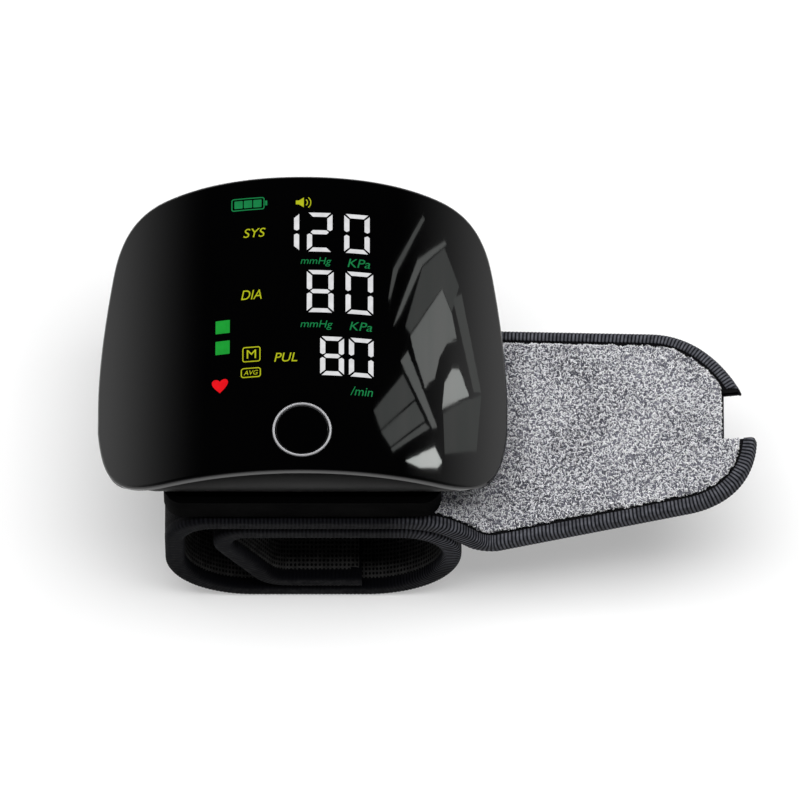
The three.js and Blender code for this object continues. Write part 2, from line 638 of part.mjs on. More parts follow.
function tailOutline(inset) {
  const nearTurn = new Vector2(TAIL_LENGTH - TIP_NEAR_LENGTH, TAIL_ROOT_NEAR_Y + TAIL_NARROWING);
  const farTurn = new Vector2(TAIL_LENGTH - TIP_FAR_LENGTH, TAIL_ROOT_FAR_Y - TAIL_NARROWING);
  const tip = new Vector2(TAIL_LENGTH, TAIL_TIP_Y);
  const nearRoot = new Vector2(0, TAIL_ROOT_NEAR_Y);
  const farRoot = new Vector2(0, TAIL_ROOT_FAR_Y);
  const nearLean = nearTurn.clone().sub(nearRoot).normalize();
  const farLean = farTurn.clone().sub(farRoot).normalize();
  const nearPull = nearTurn.clone().addScaledVector(nearLean, TIP_NEAR_LEAD * TIP_NEAR_LENGTH);
  const farPull = farTurn.clone().addScaledVector(farLean, TIP_FAR_LEAD * TIP_FAR_LENGTH);
  const nearTipPull = new Vector2(TAIL_LENGTH, TAIL_TIP_Y + TIP_NEAR_ROUND * (nearTurn.y - TAIL_TIP_Y));
  const farTipPull = new Vector2(TAIL_LENGTH, TAIL_TIP_Y + TIP_FAR_ROUND * (farTurn.y - TAIL_TIP_Y));
  const edge = new THREE.CurvePath();
  edge.add(new THREE.LineCurve(nearRoot, nearTurn));
  edge.add(new CubicBezierCurve(nearTurn, nearPull, nearTipPull, tip));
  edge.add(new CubicBezierCurve(tip, farTipPull, farPull, farTurn));
  edge.add(new THREE.LineCurve(farTurn, farRoot));
  const points = edge.curves.flatMap((curve) => {
    const steps = curve.isLineCurve ? 1 : TIP_STEPS;
    return Array.from({ length: steps + 1 }, (_, i) => {
      const along = curve.getTangent(i / steps);
      const inwards = new Vector2(-along.y, along.x);
      return curve.getPoint(i / steps).addScaledVector(inwards, inset);
    });
  });
  return points.filter((p, i) => i === 0 || p.distanceTo(points[i - 1]) > SAME_PLACE);
}

function tailSlab(inset, z0, z1, start) {
  const plate = slab(new THREE.Shape(tailOutline(inset)), z0, z1);
  const width = TAIL_ROOT_FAR_Y - TAIL_ROOT_NEAR_Y;
  const before = block(-PAST, start, TAIL_ROOT_NEAR_Y - width, TAIL_ROOT_FAR_Y + width, z0 - PAST, z1 + PAST);
  return cutFrom(plate, before);
}

function notchSolid() {
  const depth = PAST + STRAP_FACE + PILE_RAISE + HOOK_PATCH;
  const start = TAIL_LENGTH - NOTCH_DEPTH;
  const half = NOTCH_WIDTH / 2;
  return block(start, TAIL_LENGTH + PAST, TAIL_MIDDLE_Y - half, TAIL_MIDDLE_Y + half, -depth, depth);
}

const tailStart = TAIL_ROOT_ROUND + FIT;

function makeTailPile() {
  const under = tailSlab(clothInset, PLY_GAP / 2, STRAP / 2, tailStart);
  const face = tailSlab(TAPE_LAP + PLY_GAP, PLY_GAP / 2, STRAP_FACE + PILE_RAISE, tailStart);
  return cutFrom(joined(under, face), notchSolid());
}

function makeTailBacking() {
  const backing = tailSlab(clothInset, -STRAP / 2, -PLY_GAP / 2, 0);
  const near = TAIL_ROOT_NEAR_Y + clothInset;
  const far = TAIL_ROOT_FAR_Y - clothInset;
  const round = rodAlongY(TAIL_ROOT_ROUND, 0, 0, near, far, ROUND_SIDES / 2);
  return cutFrom(joined(backing, round), notchSolid());
}

// The tape round the tail's edge, on one side of the notch
function makeTailBinding(side) {
  const tape = cutFrom(
    tailSlab(0, -TAPE_OUTER, TAPE_OUTER, tailStart),
    tailSlab(TAPE, -TAPE_INNER, TAPE_INNER, 0),
    tailSlab(TAPE_LAP, -STRAP, STRAP, 0),
    notchSolid(),
  );
  const width = TAIL_ROOT_FAR_Y - TAIL_ROOT_NEAR_Y;
  const low = side === 'near' ? TAIL_MIDDLE_Y : TAIL_MIDDLE_Y - width;
  return cutFrom(tape, block(-PAST, TAIL_LENGTH + PAST, low, low + width, -STRAP, STRAP));
}

function makeHookPatch() {
  const top = -TAPE_OUTER;
  const patch = tailSlab(HOOK_PATCH_MARGIN, top - HOOK_PATCH, -STRAP / 2 - PLY_GAP, HOOK_PATCH_START);
  const width = TAIL_ROOT_FAR_Y - TAIL_ROOT_NEAR_Y;
  const after = block(HOOK_PATCH_END, TAIL_LENGTH + PAST, -width, width, -STRAP - HOOK_PATCH - PAST, 0);
  return cutFrom(patch, after);
}

// Housing: seen from above it has one outline, which inner pieces repeat further in

function chainPoints(curves, inset, steps) {
  return curves.flatMap((curve) => Array.from({ length: steps + 1 }, (_, i) => {
    const along = curve.getTangent(i / steps);
    return curve.getPoint(i / steps).addScaledVector(new Vector2(-along.y, along.x), inset);
  }));
}

function yOnChain(points, x) {
  const found = points.findIndex((p, i) => i > 0 && (p.x - x) * (points[i - 1].x - x) <= 0);
  if (found < 0) return points.reduce((best, p) => (p.x > best.x ? p : best)).y;
  const from = points[found - 1];
  const to = points[found];
  const share = to.x === from.x ? 0 : (x - from.x) / (to.x - from.x);
  return THREE.MathUtils.lerp(from.y, to.y, share);
}

function panelOutline(inset) {
  const half = PANEL_WIDTH / 2;
  const nearStart = new Vector2(half - NEAR_CORNER_ACROSS, 0);
  const side = new Vector2(half, NEAR_CORNER_ALONG);
  const sideEnd = new Vector2(half, NEAR_CORNER_ALONG + SIDE_STRAIGHT);
  const bend = new Vector2(half - SHOULDER_IN, PANEL_LENGTH - SHOULDER_DROP);
  const corner = new Vector2(half - FAR_CORNER_ACROSS, PANEL_LENGTH - FAR_CORNER_DROP);
  const farLead = new Vector2(FAR_CORNER_LEAD * FAR_CORNER_ACROSS, -FAR_CORNER_RISE * FAR_CORNER_DROP);
  const top = new Vector2(0, PANEL_LENGTH);
  const near = [
    new THREE.LineCurve(new Vector2(0, 0), nearStart),
    new CubicBezierCurve(
      nearStart,
      new Vector2(half - NEAR_CORNER_LEAD * NEAR_CORNER_ACROSS, 0),
      new Vector2(half - NEAR_CORNER_LEAN * NEAR_CORNER_ACROSS, NEAR_CORNER_RISE * NEAR_CORNER_ALONG),
      side,
    ),
  ];
  const far = [
    new CubicBezierCurve(
      sideEnd,
      new Vector2(half, sideEnd.y + SIDE_LEAD * (bend.y - sideEnd.y)),
      new Vector2(bend.x + SHOULDER_LEAD * SHOULDER_IN, bend.y - SHOULDER_LEAD * SHOULDER_DROP),
      bend,
    ),
    new CubicBezierCurve(
      bend,
      new Vector2(bend.x - SHOULDER_LEAD * SHOULDER_IN, bend.y + SHOULDER_LEAD * SHOULDER_DROP),
      corner.clone().add(farLead),
      corner,
    ),
    new CubicBezierCurve(
      corner,
      corner.clone().sub(farLead),
      new Vector2(FAR_FLAT, PANEL_LENGTH),
      top,
    ),
  ];
  const nearPoints = chainPoints(near, inset, ACROSS_STEPS);
  const farPoints = chainPoints(far, inset, ACROSS_STEPS);
  return {
    half: half - inset,
    near: (x) => PANEL_NEAR_Y + yOnChain(nearPoints, Math.abs(x)),
    far: (x) => PANEL_NEAR_Y + yOnChain(farPoints, Math.abs(x)),
  };
}

// Places across the housing, closer together towards its sides and with one at each base edge
function acrossStations(half) {
  const places = [-BASE_HALF, BASE_HALF];
  for (let i = -ACROSS_STEPS; i <= ACROSS_STEPS; i += 1) {
    places.push(half * Math.sin((Math.PI / 2) * (i / ACROSS_STEPS)));
  }
  const sorted = places.sort((a, b) => a - b);
  return sorted.filter((x, i) => i === 0 || x - sorted[i - 1] > SAME_PLACE);
}

// A crowned sheet between two radii about the crown's axis, with a bevelled upper edge
function crownSheet(inset, outer, inner, bevel, bevelWidth) {
  const edge = panelOutline(inset);
  const stations = acrossStations(edge.half);
  const end = edge.half - 1e-6;
  const section = (x) => {
    const near = edge.near(x);
    const far = edge.far(x);
    const top = Math.abs(x) < end ? outer : outer - END_BEVEL * bevel;
    return [
      new Vector2(near, inner),
      new Vector2(far, inner),
      new Vector2(far, outer - bevel),
      new Vector2(far - bevelWidth, top),
      new Vector2(near + bevelWidth, top),
      new Vector2(near, outer - bevel),
    ];
  };
  return loft(stations, section, (x, p) => new Vector3(
    (p.y * x) / CROWN_RADIUS,
    p.x,
    CROWN_AXIS_Z + p.y * Math.sqrt(1 - (x / CROWN_RADIUS) ** 2),
  ));
}

function makeLens() {
  const lens = crownSheet(0, CROWN_RADIUS, LENS_UNDER, LENS_EDGE, LENS_EDGE_WIDTH);
  const hole = rod(RING_RADIUS + PLY_GAP, 0, BUTTON_Y, SHELL_Z, CROWN_TOP_Z + PAST, 2 * ROUND_SIDES);
  return cutFrom(lens, hole);
}

function makeCarrier() {
  const sheet = crownSheet(CARRIER_INSET, CARRIER_TOP, CARRIER_TOP - CARRIER, FIT, FIT);
  const window = block(
    -LIGHT_FRAME_LEFT - FIT,
    LIGHT_FRAME_LEFT + FIT,
    LIGHT_FRAME_NEAR_Y - FIT,
    LIGHT_FRAME_FAR_Y + FIT,
    SHELL_Z,
    CROWN_TOP_Z,
  );
  return cutFrom(sheet, window, rod(FLANGE_RADIUS + FIT, 0, BUTTON_Y, SHELL_Z, CROWN_TOP_Z));
}

// The shell's underside is flat over the base and falls away beside it, along the crown
function undersideZ(x) {
  return Math.min(SHELL_Z, crownZ(LOBE_RADIUS, x));
}

function shellBody(inset, topRadius, lift, round) {
  const edge = panelOutline(inset);
  const stations = acrossStations(edge.half);
  const section = (x) => {
    const into = Math.max(0, Math.abs(x) - (edge.half - round));
    const floor = undersideZ(x) + lift + round - Math.sqrt(Math.max(0, round * round - into * into));
    const near = edge.near(x);
    const far = edge.far(x);
    const top = crownZ(topRadius, x);
    return [
      new Vector2(near + round, floor),
      new Vector2(far - round, floor),
      new Vector2(far, floor + round),
      new Vector2(far, top),
      new Vector2(near, top),
      new Vector2(near, floor + round),
    ];
  };
  return loft(stations, section, (x, p) => new Vector3(x, p.x, p.y));
}

const screwPlaces = [SCREW_NEAR_Y, SCREW_FAR_Y].flatMap((y) => [-SCREW_X, SCREW_X].map((x) => [x, y]));

function makeLowerShell() {
  const outer = shellBody(RIM_INSET, RIM_RADIUS, 0, SHELL_ROUND);
  const inner = shellBody(RIM_INSET + SHELL_WALL, RIM_RADIUS + PAST, SHELL_FLOOR, FIT);
  const opening = slab(
    roundedRect(
      BASE_WALL - BASE_HALF,
      BASE_HALF - BASE_WALL,
      POST_NEAR_Y - POST_RADIUS - 2 * FIT,
      POST_FAR_Y + POST_RADIUS + 2 * FIT,
      BASE_CORNER,
    ),
    SHELL_Z - PAST,
    SHELL_Z + SHELL_FLOOR + PAST,
  );
  const speakerRoom = block(
    SPEAKER_X - SPEAKER_RADIUS - FIT,
    SPEAKER_X + SPEAKER_RADIUS + FIT,
    POST_FAR_Y,
    BASE_FAR_Y - BASE_WALL,
    SHELL_Z - PAST,
    SHELL_Z + SHELL_FLOOR + PAST,
  );
  const bosses = screwPlaces.map(([x, y]) => rod(BOSS_RADIUS, x, y, SHELL_Z, SHELL_Z + BOSS_HEIGHT));
  const pilots = screwPlaces.map(([x, y]) => {
    return rod(SCREW_RADIUS + SLIP, x, y, SHELL_Z - PAST, SHELL_Z + BOSS_HEIGHT - SHELL_FLOOR / 2);
  });
  return cutFrom(joined(cutFrom(outer, inner, opening, speakerRoom), ...bosses), ...pilots);
}

// Base cover: a tub that holds the board's posts, the cradles and the screw posts

const tonguePlaces = [PLATE_NEAR_Y + TONGUE_INSET, PLATE_FAR_Y - TONGUE_INSET].flatMap((y) => {
  const reach = PLATE_HALF_WIDTH - TONGUE_INSET;
  return [-reach, reach].map((x) => [x, y]);
});

function tongueSolid([x, y], z0, z1, room) {
  const halfWidth = TONGUE_WIDTH / 2 + room;
  const half = TONGUE / 2 + room;
  return block(x - halfWidth, x + halfWidth, y - half, y + half, z0, z1);
}

function makeCuffPlate() {
  const plate = slab(
    roundedRect(-PLATE_HALF_WIDTH, PLATE_HALF_WIDTH, PLATE_NEAR_Y, PLATE_FAR_Y, PLATE_CORNER),
    PLATE_Z,
    PLATE_Z + PLATE,
  );
  const tongues = tonguePlaces.map((place) => tongueSolid(place, PLATE_Z, FLOOR_Z, 0));
  const hole = rod(NOZZLE_RADIUS + FIT, NOZZLE_X, NOZZLE_Y, PLATE_Z - PAST, PLATE_Z + PLATE + PAST);
  return cutFrom(joined(plate, ...tongues), hole);
}

// Two ribs under a round piece along Y, each with a seat cut by that piece
function cradleRibs(x, radius, z, y0, y1) {
  const seat = rodAlongY(radius + SLIP, x, z, y0, y1);
  return [y0 + CRADLE_INSET, y1 - CRADLE_INSET].map((y) => {
    const half = CRADLE_THICKNESS / 2;
    const rib = block(x - radius, x + radius, y - half, y + half, FLOOR_Z - BASE_FLOOR / 2, FLOOR_Z + CRADLE);
    return cutFrom(rib, seat);
  });
}

const postPlaces = [POST_NEAR_Y, POST_FAR_Y].flatMap((y) => [-POST_X, POST_X].map((x) => [x, y]));
const boardScrewPlaces = postPlaces.slice(0, 2);

function makeBaseCover() {
  const tub = cutFrom(
    slab(roundedRect(-BASE_HALF, BASE_HALF, BASE_NEAR_Y, BASE_FAR_Y, BASE_CORNER), BASE_Z, BASE_TOP_Z),
    slab(
      roundedRect(
        BASE_WALL - BASE_HALF,
        BASE_HALF - BASE_WALL,
        BASE_NEAR_Y + BASE_WALL,
        BASE_FAR_Y - BASE_WALL,
        BASE_CORNER - BASE_WALL,
      ),
      FLOOR_Z,
      BASE_TOP_Z + PAST,
    ),
  );
  const posts = postPlaces.map(([x, y]) => rod(POST_RADIUS, x, y, BASE_Z, POST_TOP_Z, SMALL_SIDES));
  const screwPosts = screwPlaces.map(([x, y]) => rod(BOSS_RADIUS, x, y, BASE_Z, BASE_TOP_Z));
  const ribs = [
    ...cradleRibs(CELL_X, CELL_RADIUS, AIR_LINE_Z, CELL_NEAR_Y, CELL_FAR_Y),
    ...cradleRibs(AIR_X, MOTOR_RADIUS, AIR_LINE_Z, MOTOR_NEAR_Y, MOTOR_FAR_Y),
  ];
  const screwHoles = screwPlaces.flatMap(([x, y]) => [
    rod(SCREW_RADIUS + SLIP, x, y, BASE_Z - PAST, BASE_TOP_Z + PAST),
    rod(SCREW_HEAD_RADIUS + SLIP, x, y, BASE_Z - PAST, BASE_Z + SCREW_HEAD + 2 * SLIP),
  ]);
  const pilots = boardScrewPlaces.map(([x, y]) => {
    return rod(BOARD_SCREW_RADIUS + SLIP, x, y, FLOOR_Z + SLIP, POST_TOP_Z + PAST, SMALL_SIDES);
  });
  const slots = tonguePlaces.map((place) => tongueSolid(place, BASE_Z - PAST, FLOOR_Z + PAST, FIT));
  const nozzleHole = rod(NOZZLE_RADIUS + FIT, NOZZLE_X, NOZZLE_Y, BASE_Z - PAST, FLOOR_Z + PAST);
  const socketHole = chargeSocketBar(FIT, BASE_FAR_Y - CHARGE_SOCKET_LENGTH, BASE_FAR_Y + PAST);
  const soundSlots = Array.from({ length: SOUND_SLOTS }, (_, i) => {
    const x = SPEAKER_X + (i - (SOUND_SLOTS - 1) / 2) * SOUND_SLOT_PITCH;
    return block(
      x - SOUND_SLOT_WIDTH / 2,
      x + SOUND_SLOT_WIDTH / 2,
      BASE_FAR_Y - BASE_WALL - PAST,
      BASE_FAR_Y + PAST,
      FLOOR_Z + FIT,
      FLOOR_Z + FIT + SOUND_SLOT_HEIGHT,
    );
  });
  return cutFrom(
    joined(tub, ...posts, ...screwPosts, ...ribs),
    ...screwHoles,
    ...pilots,
    ...slots,
    nozzleHole,
    socketHole,
    ...soundSlots,
  );
}

function makeCaseScrew([x, y]) {
  const headZ = BASE_Z + SLIP;
  return joined(
    rod(SCREW_HEAD_RADIUS, x, y, headZ, headZ + SCREW_HEAD, SMALL_SIDES),
    rod(SCREW_RADIUS, x, y, headZ, headZ + SCREW_LENGTH, SHAFT_SIDES),
  );
}

// Start button, the ring round it and the switch below it

function underCrown(solid, radius) {
  const cap = new THREE.CylinderGeometry(radius, radius, PANEL_LENGTH, CROWN_SIDES);
  return solid.intersect(solidOf(cap.translate(0, BUTTON_Y, CROWN_AXIS_Z)));
}

function makeButton() {
  const face = rod(BUTTON_RADIUS, 0, BUTTON_Y, FLANGE_Z, CROWN_TOP_Z, 2 * ROUND_SIDES);
  return joined(
    underCrown(face, CROWN_RADIUS - BUTTON_SINK),
    rod(FLANGE_RADIUS, 0, BUTTON_Y, FLANGE_Z, FLANGE_TOP_Z, 2 * ROUND_SIDES),
    rod(STEM_RADIUS, 0, BUTTON_Y, STEM_Z, FLANGE_Z + STEM),
  );
}

function makeButtonRing() {
  const z0 = FLANGE_TOP_Z + FIT;
  const outer = rod(RING_RADIUS, 0, BUTTON_Y, z0, CROWN_TOP_Z + PAST, 2 * ROUND_SIDES);
  const inner = rod(RING_RADIUS - RING_BAND, 0, BUTTON_Y, z0 - PAST, CROWN_TOP_Z + 2 * PAST, 2 * ROUND_SIDES);
  return underCrown(cutFrom(outer, inner), CROWN_RADIUS + RING_RAISE);
}

function makeTactSwitch() {
  const half = SWITCH_SIZE / 2;
  const z0 = BOARD_TOP_Z + SLIP;
  return joined(
    block(-half, half, BUTTON_Y - half, BUTTON_Y + half, z0, z0 + SWITCH_BODY),
    rod(PLUNGER_RADIUS, 0, BUTTON_Y, z0, PLUNGER_TOP_Z, SMALL_SIDES),
  );
}

// Board and what is on it

function makeBoard() {
  const board = slab(
    roundedRect(-BOARD_HALF_WIDTH, BOARD_HALF_WIDTH, BOARD_NEAR_Y, BOARD_FAR_Y, BOARD_CORNER),
    BOARD_Z,
    BOARD_TOP_Z,
  );
  const holes = boardScrewPlaces.map(([x, y]) => {
    return rod(BOARD_SCREW_RADIUS + SLIP, x, y, BOARD_Z - PAST, BOARD_TOP_Z + PAST, SMALL_SIDES);
  });
  return cutFrom(board, ...holes);
}

function makeBoardScrew([x, y]) {
  const headZ = BOARD_TOP_Z + SLIP;
  return joined(
    rod(BOARD_SCREW_HEAD_RADIUS, x, y, headZ, headZ + BOARD_SCREW_HEAD, SMALL_SIDES),
    rod(BOARD_SCREW_RADIUS, x, y, headZ - BOARD_SCREW_LENGTH, headZ + SLIP, SHAFT_SIDES),
  );
}

function makeChip() {
  const half = CHIP_SIZE / 2;
  const top = BOARD_Z - SLIP;
  return block(CHIP_X - half, CHIP_X + half, CHIP_Y - half, CHIP_Y + half, top - CHIP, top);
}

function makeLightFrame() {
  const z1 = LIGHT_FRAME_Z + LIGHT_FRAME;
  const frame = block(
    -LIGHT_FRAME_LEFT, LIGHT_FRAME_RIGHT, LIGHT_FRAME_NEAR_Y, LIGHT_FRAME_FAR_Y, LIGHT_FRAME_Z, z1,
  );
  const rows = Array.from({ length: DIGIT_ROWS }, (_, i) => THREE.MathUtils.lerp(
    LIGHT_FRAME_NEAR_Y + FIRST_ROW,
    LIGHT_FRAME_FAR_Y - LAST_ROW,
    i / (DIGIT_ROWS - 1),
  ));
  const wells = rows.flatMap((y) => {
    const room = [y - DIGIT_WELL_LENGTH / 2, y + DIGIT_WELL_LENGTH / 2, LIGHT_FRAME_Z - PAST, z1 + PAST];
    return [
      block(DIGIT_WELL_LEFT, DIGIT_WELL_RIGHT, ...room),
      block(MARK_WELL_LEFT, MARK_WELL_RIGHT, ...room),
    ];
  });
  return cutFrom(frame, ...wells);
}

function makeDiffuser() {
  return block(
    -LIGHT_FRAME_LEFT,
    LIGHT_FRAME_RIGHT,
    LIGHT_FRAME_NEAR_Y,
    LIGHT_FRAME_FAR_Y,
    DIFFUSER_Z,
    DIFFUSER_Z + DIFFUSER,
  );
}

// Air system

function makePumpMotor() {
  return joined(
    rodAlongY(MOTOR_RADIUS, AIR_X, AIR_LINE_Z, MOTOR_NEAR_Y, MOTOR_FAR_Y - MOTOR_NECK / 2),
    rodAlongY(MOTOR_RADIUS / 2, AIR_X, AIR_LINE_Z, MOTOR_NEAR_Y, MOTOR_FAR_Y, SMALL_SIDES),
  );
}

// A rounded block on the air line, with a spout towards the manifold
function airBlock(width, y0, y1, spoutY) {
  const half = width / 2;
  const shape = roundedRect(AIR_X - half, AIR_X + half, y0, y1, HEAD_ROUND);
  const roof = Math.min(BOARD_Z, crownZ(CARRIER_TOP - CARRIER, AIR_X + half));
  const body = slab(shape, FLOOR_Z + FIT, roof - FIT);
  const spoutEnd = AIR_X - half - SPOUT;
  const spout = rodAlongX(SPOUT_RADIUS, spoutY, AIR_LINE_Z, spoutEnd, AIR_X, SHAFT_SIDES);
  return joined(body, spout);
}

function makePumpHead() {
  return airBlock(HEAD_WIDTH, HEAD_NEAR_Y, HEAD_FAR_Y, HEAD_SPOUT_Y);
}

function makeReleaseValve() {
  return airBlock(VALVE_WIDTH, VALVE_NEAR_Y, VALVE_NEAR_Y + VALVE_LENGTH, VALVE_SPOUT_Y);
}

function makeManifold() {
  const end = SPOUT_RADIUS + TUBE_WALL + FIT;
  const shape = roundedRect(
    MANIFOLD_LEFT, MANIFOLD_RIGHT, VALVE_SPOUT_Y - end, HEAD_SPOUT_Y + end, MANIFOLD_ROUND,
  );
  const spouts = [VALVE_SPOUT_Y, HEAD_SPOUT_Y].map((y) => {
    return rodAlongX(SPOUT_RADIUS, y, AIR_LINE_Z, NOZZLE_X, MANIFOLD_RIGHT + SPOUT, SHAFT_SIDES);
  });
  const socketRadius = NOZZLE_RADIUS + SLIP + SOCKET_WALL;
  const socket = rod(socketRadius, NOZZLE_X, NOZZLE_Y, FLOOR_Z + SLIP, MANIFOLD_Z + SOCKET_WALL);
  const nozzleTop = FLOOR_Z + NOZZLE_REACH + SLIP;
  const nozzleHole = rod(NOZZLE_RADIUS + SLIP, NOZZLE_X, NOZZLE_Y, FLOOR_Z - PAST, nozzleTop);
  const portZ = MANIFOLD_TOP_Z - SENSOR_PORT;
  const portHole = rod(SPOUT_RADIUS + SLIP, NOZZLE_X, SENSOR_Y, portZ, BOARD_Z, SMALL_SIDES);
  return cutFrom(joined(slab(shape, MANIFOLD_Z, MANIFOLD_TOP_Z), socket, ...spouts), nozzleHole, portHole);
}

function makeSensor() {
  const half = SENSOR_SIZE / 2;
  const bottom = MANIFOLD_TOP_Z + FIT;
  const top = BOARD_Z - SLIP;
  return joined(
    block(NOZZLE_X - half, NOZZLE_X + half, SENSOR_Y - half, SENSOR_Y + half, bottom, top),
    rod(SPOUT_RADIUS, NOZZLE_X, SENSOR_Y, MANIFOLD_TOP_Z - SENSOR_PORT + SLIP, top, SHAFT_SIDES),
  );
}

// A short soft tube over the spout of the manifold and the spout of a block on the air line
function makeAirTube(y, blockWidth) {
  const start = new Vector3(MANIFOLD_RIGHT + SLIP, y, AIR_LINE_Z);
  const end = new Vector3(AIR_X - blockWidth / 2 - SLIP, y, AIR_LINE_Z);
  const section = new THREE.Shape().absarc(0, 0, TUBE_BORE + TUBE_WALL, 0, 2 * Math.PI);
  section.holes.push(new THREE.Path().absarc(0, 0, TUBE_BORE, 0, 2 * Math.PI, true));
  return solidOf(new THREE.ExtrudeGeometry(section, {
    steps: 1,
    extrudePath: new THREE.LineCurve3(start, end),
    curveSegments: TUBE_SIDES,
  }));
}

// Power and sound

function makeCell() {
  const shoulder = CELL_FAR_Y - CELL_CAP;
  return joined(
    rodAlongY(CELL_RADIUS, CELL_X, AIR_LINE_Z, CELL_NEAR_Y, shoulder),
    rodAlongY(CELL_CAP_RADIUS, CELL_X, AIR_LINE_Z, shoulder - CELL_CAP, CELL_FAR_Y, SMALL_SIDES),
  );
}

const chargeX = (CHARGE_BOARD_LEFT + CHARGE_BOARD_RIGHT) / 2;
const chargeBoardZ = FLOOR_Z + SLIP;
const chargeFarY = BASE_FAR_Y - BASE_WALL - SLIP;

// The charge socket's outer form, grown by some room, along Y
function chargeSocketBar(room, y0, y1) {
  const half = CHARGE_SOCKET_WIDTH / 2 + room;
  const low = chargeBoardZ + CHARGE_BOARD + SLIP;
  const shape = roundedRect(
    chargeX - half,
    chargeX + half,
    low - room,
    low + CHARGE_SOCKET_HEIGHT + room,
    CHARGE_SOCKET_ROUND + room,
  );
  const bar = new THREE.ExtrudeGeometry(shape, { depth: y1 - y0, bevelEnabled: false, curveSegments: 4 });
  return solidOf(bar.rotateX(Math.PI / 2).translate(0, y1, 0));
}

function makeChargeBoard() {
  return block(
    CHARGE_BOARD_LEFT,
    CHARGE_BOARD_RIGHT,
    chargeFarY - CHARGE_BOARD_LENGTH,
    chargeFarY,
    chargeBoardZ,
    chargeBoardZ + CHARGE_BOARD,
  );
}

function makeChargeSocket() {
  const y0 = BASE_FAR_Y - CHARGE_SOCKET_LENGTH;
  return cutFrom(
    chargeSocketBar(0, y0, BASE_FAR_Y),
    chargeSocketBar(-CHARGE_SOCKET_WALL, y0 + CHARGE_SOCKET_WALL, BASE_FAR_Y + PAST),
  );
}

function makeSpeaker() {
  const far = BASE_FAR_Y - BASE_WALL - FIT;
  const z = FLOOR_Z + FIT + SPEAKER_RADIUS;
  const body = joined(
    rodAlongY(SPEAKER_RADIUS, SPEAKER_X, z, far - SPEAKER / 2, far),
    rodAlongY(SPEAKER_RADIUS / 2, SPEAKER_X, z, far - SPEAKER, far, SMALL_SIDES),
  );
  return cutFrom(body, rodAlongY(SPEAKER_RADIUS - SPEAKER_RIM, SPEAKER_X, z, far - SPEAKER_RIM, far + PAST));
}

// Finishes

function finish(color, roughness, metalness = 0) {
  return new THREE.MeshStandardMaterial({ color, roughness, metalness });
}

const glossBlack = finish(0x060607, 0.06);
const shellGrey = finish(0x33343a, 0.45);
const baseBlack = finish(0x0b0b0c, 0.55);
const chrome = finish(0xb9bcc2, 0.2, 1);
const clothBlack = finish(0x101013, 0.95);
const meshBlack = finish(0x1b1b1f, 0.9);
const tapeNavy = finish(0x22242c, 0.8);
const pileGrey = finish(0x9a9aa2, 1);
const whitePlastic = finish(0xdedede, 0.6);
const boardGreen = finish(0x0e4a2c, 0.5);
const chipBlack = finish(0x161616, 0.4);
const steel = finish(0x9a9da3, 0.35, 1);
const rubberGrey = finish(0x4a4c50, 0.85);
const cellBlue = finish(0x1f4f8a, 0.4);

// The monitor, put together

const monitor = new THREE.Group();
const tail = new THREE.Group();
tail.position.set(tailPivot.x, 0, tailPivot.z);
tail.rotation.y = -degrees(TAIL_SLOPE);
monitor.add(tail);

function add(name, solid, material, group = monitor) {
  const mesh = new THREE.Mesh(geometryOf(solid), material);
  mesh.name = name;
  group.add(mesh);
}

add('front_lens', makeLens(), glossBlack);
add('lens_carrier', makeCarrier(), chipBlack);
add('lower_shell', makeLowerShell(), shellGrey);
add('base_cover', makeBaseCover(), baseBlack);
screwPlaces.forEach((place, i) => add(`case_screw_${i + 1}`, makeCaseScrew(place), steel));

add('start_button', makeButton(), glossBlack);
add('button_ring', makeButtonRing(), chrome);
add('tact_switch', makeTactSwitch(), chipBlack);

add('main_board', makeBoard(), boardGreen);
boardScrewPlaces.forEach((place, i) => add(`board_screw_${i + 1}`, makeBoardScrew(place), steel));
add('controller_chip', makeChip(), chipBlack);
add('light_frame', makeLightFrame(), whitePlastic);
add('diffuser_film', makeDiffuser(), whitePlastic);

add('pump_motor', makePumpMotor(), steel);
add('pump_head', makePumpHead(), chipBlack);
add('release_valve', makeReleaseValve(), rubberGrey);
add('air_manifold', makeManifold(), whitePlastic);
add('pressure_sensor', makeSensor(), chipBlack);
add('pump_tube', makeAirTube(HEAD_SPOUT_Y, HEAD_WIDTH), rubberGrey);
add('valve_tube', makeAirTube(VALVE_SPOUT_Y, VALVE_WIDTH), rubberGrey);

add('battery_cell', makeCell(), cellBlue);
add('charge_board', makeChargeBoard(), boardGreen);
add('charge_socket', makeChargeSocket(), steel);
add('speaker', makeSpeaker(), chipBlack);

add('cuff_mount_plate', makeCuffPlate(), baseBlack);
add('bladder_nozzle', makeBladderNozzle(), rubberGrey);
add('cuff_cover', makeCuffCover(), clothBlack);
add('cuff_curler', makeCurler(), whitePlastic);
add('cuff_bladder', makeBladder(), rubberGrey);
add('cuff_lining', makeCuffLining(), meshBlack);
add('cuff_binding_near', makeCuffBinding(1), tapeNavy);
add('cuff_binding_far', makeCuffBinding(-1), tapeNavy);

add('tail_pile', makeTailPile(), pileGrey, tail);
add('tail_backing', makeTailBacking(), clothBlack, tail);
add('tail_binding_near', makeTailBinding('near'), tapeNavy, tail);
add('tail_binding_far', makeTailBinding('far'), tapeNavy, tail);
add('hook_patch', makeHookPatch(), meshBlack, tail);

export default monitor;
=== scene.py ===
"""Wrist blood pressure monitor, standing on its rolled-up cuff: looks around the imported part.

Sizes are in millimetres up to make_piece, which turns them into the frame's metres.
"""

import json
import math

import bmesh
import bpy
import numpy as np
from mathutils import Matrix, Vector, geometry, noise


